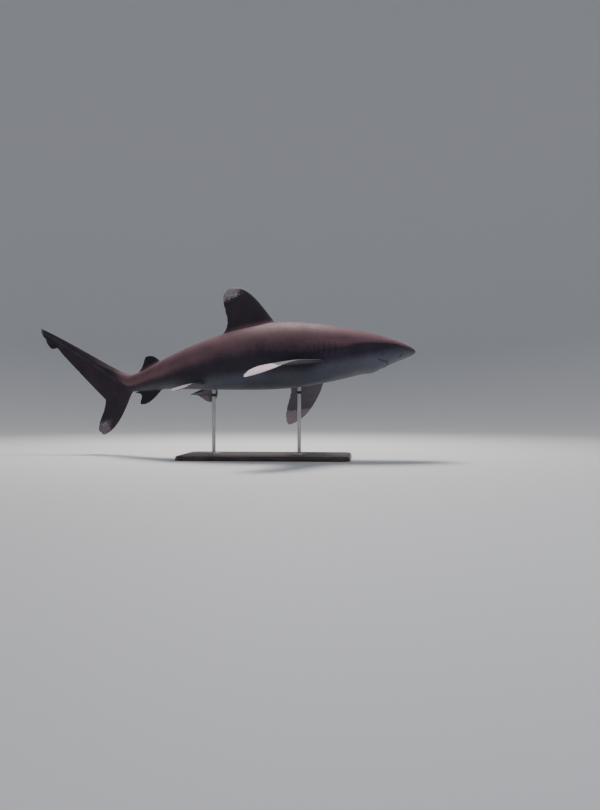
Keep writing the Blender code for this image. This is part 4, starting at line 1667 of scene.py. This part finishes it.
def screw_tree(material):
    tree, given, result = empty_tree(
        "flange_screws",
        (
            ("Count", "NodeSocketInt", 4),
            ("Circle", "NodeSocketFloat", 0.027),
            ("Head", "NodeSocketFloat", 0.0034),
            ("Centre", "NodeSocketVector", (0.0, 0.0, 0.0)),
            ("Seed", "NodeSocketInt", 1),
        ),
    )
    ring = add(
        tree, "GeometryNodeMeshCircle",
        {"Vertices": given["Count"], "Radius": given["Circle"]},
    )
    head = add(
        tree, "GeometryNodeMeshCone",
        {
            "Vertices": 24, "Radius Bottom": given["Head"],
            "Radius Top": worked(tree, "MULTIPLY", given["Head"], 0.9), "Depth": 0.0010,
        },
    )
    key = add(
        tree, "GeometryNodeMeshCylinder",
        {"Vertices": 6, "Radius": worked(tree, "MULTIPLY", given["Head"], 0.5), "Depth": 0.0012},
    )
    raised_key = add(
        tree, "GeometryNodeTransform",
        {"Geometry": key.outputs["Mesh"], "Translation": (0, 0, 0.0010)},
    )
    cut = add(
        tree, "GeometryNodeMeshBoolean",
        {"Mesh 1": head.outputs["Mesh"], "Mesh 2": raised_key.outputs[0]},
        operation="DIFFERENCE", solver="EXACT",
    )
    spin = add(
        tree, "FunctionNodeRandomValue",
        {0: (0, 0, 0), 1: (0, 0, 2 * math.pi), "Seed": given["Seed"]}, data_type="FLOAT_VECTOR",
    )
    placed = add(
        tree, "GeometryNodeInstanceOnPoints",
        {"Points": ring.outputs[0], "Instance": cut.outputs[0], "Rotation": spin.outputs[0]},
    )
    moved = add(
        tree, "GeometryNodeTransform",
        {"Geometry": placed.outputs[0], "Translation": given["Centre"]},
    )
    real = add(tree, "GeometryNodeRealizeInstances", {"Geometry": moved.outputs[0]})
    coated = add(
        tree, "GeometryNodeSetMaterial",
        {"Geometry": real.outputs[0], "Material": material},
    )
    tree.links.new(coated.outputs[0], result.inputs[0])
    return tree


class StageSettings(bpy.types.PropertyGroup):
    """Floor, lights and camera."""

    floor_colour: FloatVectorProperty(
        name="Floor", description="Colour of the plain floor", subtype="COLOR", size=3,
        default=(0.74, 0.74, 0.74), min=0, max=1,
    )
    key_power: FloatProperty(
        name="Key light", description="Power of the soft light over the back", unit="POWER",
        default=190.0, min=0.0,
    )
    fill_power: FloatProperty(
        name="Fill light", description="Power of the soft light from the camera's side",
        unit="POWER", default=26.0, min=0.0,
    )
    sky: FloatProperty(
        name="Sky", description="Strength of the even light from above", default=0.35, min=0.0,
    )
    lens: FloatProperty(
        name="Lens", description="Focal length of the camera", unit="CAMERA", default=35.0,
        min=10.0,
    )
    camera_place: FloatVectorProperty(
        name="Camera", description="Place of the camera", subtype="XYZ", unit="LENGTH", size=3,
        default=(0.538, -4.2541, 0.2911),
    )
    camera_turn: FloatProperty(
        name="Camera turn", description="Turn of the level camera from the Y axis to the left",
        subtype="ANGLE", default=math.radians(4.75),
    )


class MODEL_OT_shark_stage(bpy.types.Operator):
    """Make the floor, the soft lights and the camera"""

    bl_idname = "model.shark_stage"
    bl_label = "Stage"

    def execute(self, context):
        props = context.scene.shark_stage
        bowl = shown("studio_floor", studio_bowl())
        made, shader, _ = finish("studio_floor", 0.7, specular=0.2)
        shader.inputs["Base Color"].default_value = colour_of(props.floor_colour)
        bowl.data.materials.append(made)
        bowl.data.shade_smooth()
        area_light("key", (-0.2, 1.5, 3.6), 1.3, props.key_power, (1.0, 0.93, 0.89))
        area_light("fill", (1.6, -3.4, 2.2), 2.2, props.fill_power, (0.82, 0.88, 1.0))
        world = bpy.data.worlds.new("studio")
        world.use_nodes = True
        background = world.node_tree.nodes["Background"]
        background.inputs["Color"].default_value = (0.80, 0.87, 1.0, 1.0)
        background.inputs["Strength"].default_value = props.sky
        context.scene.world = world
        camera = bpy.data.cameras.new("camera")
        camera.lens = props.lens
        camera.sensor_width = 36.0
        viewer = bpy.data.objects.new("camera", camera)
        viewer.location = props.camera_place
        viewer.rotation_euler = (math.pi / 2, 0, props.camera_turn)
        context.scene.collection.objects.link(viewer)
        context.scene.camera = viewer
        return {"FINISHED"}


def studio_bowl():
    """A round floor that curves up into a wall all round, so that no horizon shows."""
    flat, curve, wall, sides = 4.4, 4.5, 8.0, 160
    profile = [(r, 0.0) for r in (1.0, 2.0, 3.0, flat)]
    profile += [
        (flat + curve * math.sin(a), curve * (1 - math.cos(a)))
        for a in np.linspace(0, math.pi / 2, 25)[1:]
    ]
    profile += [(flat + curve, wall)]
    turns = 2 * np.pi * np.arange(sides) / sides
    rings = np.array([[(r * math.cos(a), r * math.sin(a), z) for a in turns] for r, z in profile])
    points, faces = rings.reshape(-1, 3).tolist(), tube_faces(len(profile), sides)
    points.append([0.0, 0.0, 0.0])
    faces += [[k, (k + 1) % sides, len(points) - 1] for k in range(sides)]
    mesh = bpy.data.meshes.new("studio_floor")
    mesh.from_pydata(points, [], faces)
    shape = bmesh.new()
    shape.from_mesh(mesh)
    bmesh.ops.recalc_face_normals(shape, faces=shape.faces)
    shape.to_mesh(mesh)
    shape.free()
    return mesh


def area_light(name, place, size, power, colour):
    """A round soft light that looks at the middle of the fish."""
    light = bpy.data.lights.new(name, "AREA")
    light.shape, light.size, light.energy, light.color = "DISK", size, power, colour
    lamp = bpy.data.objects.new(name, light)
    lamp.location = place
    towards = Vector(LIT_PLACE) - Vector(place)
    lamp.rotation_euler = towards.to_track_quat("-Z", "Y").to_euler()
    bpy.context.scene.collection.objects.link(lamp)


class VIEW3D_PT_shark_model(bpy.types.Panel):
    """The pieces of the model, in the order in which they are made"""

    bl_label = "Shark model"
    bl_space_type = "VIEW_3D"
    bl_region_type = "UI"
    bl_category = "Shark"

    def draw(self, context):
        for key in SETTINGS:
            box, settings = self.layout.box(), getattr(context.scene, key)
            for name in settings.__annotations__:
                box.prop(settings, name)
        for operator in OPERATORS:
            self.layout.operator(operator.bl_idname)


SETTINGS = {
    "shark_skin": SharkSkinSettings,
    "shark_eyes": SharkEyeSettings,
    "shark_pores": SnoutPoreSettings,
    "shark_stand": SharkStandSettings,
    "shark_stage": StageSettings,
}
OPERATORS = (
    MODEL_OT_shark_skin, MODEL_OT_shark_eyes, MODEL_OT_shark_pores, MODEL_OT_shark_stand,
    MODEL_OT_shark_stage,
)


def register():
    for made in (*SETTINGS.values(), *OPERATORS, VIEW3D_PT_shark_model):
        bpy.utils.register_class(made)
    for name, settings in SETTINGS.items():
        setattr(bpy.types.Scene, name, PointerProperty(type=settings))


def unregister():
    for name in SETTINGS:
        delattr(bpy.types.Scene, name)
    for made in reversed((*SETTINGS.values(), *OPERATORS, VIEW3D_PT_shark_model)):
        bpy.utils.unregister_class(made)


def main():
    register()
    for operator in OPERATORS:
        group, name = operator.bl_idname.split(".")
        getattr(getattr(bpy.ops, group), name)()


if __name__ == "__main__":
    main()
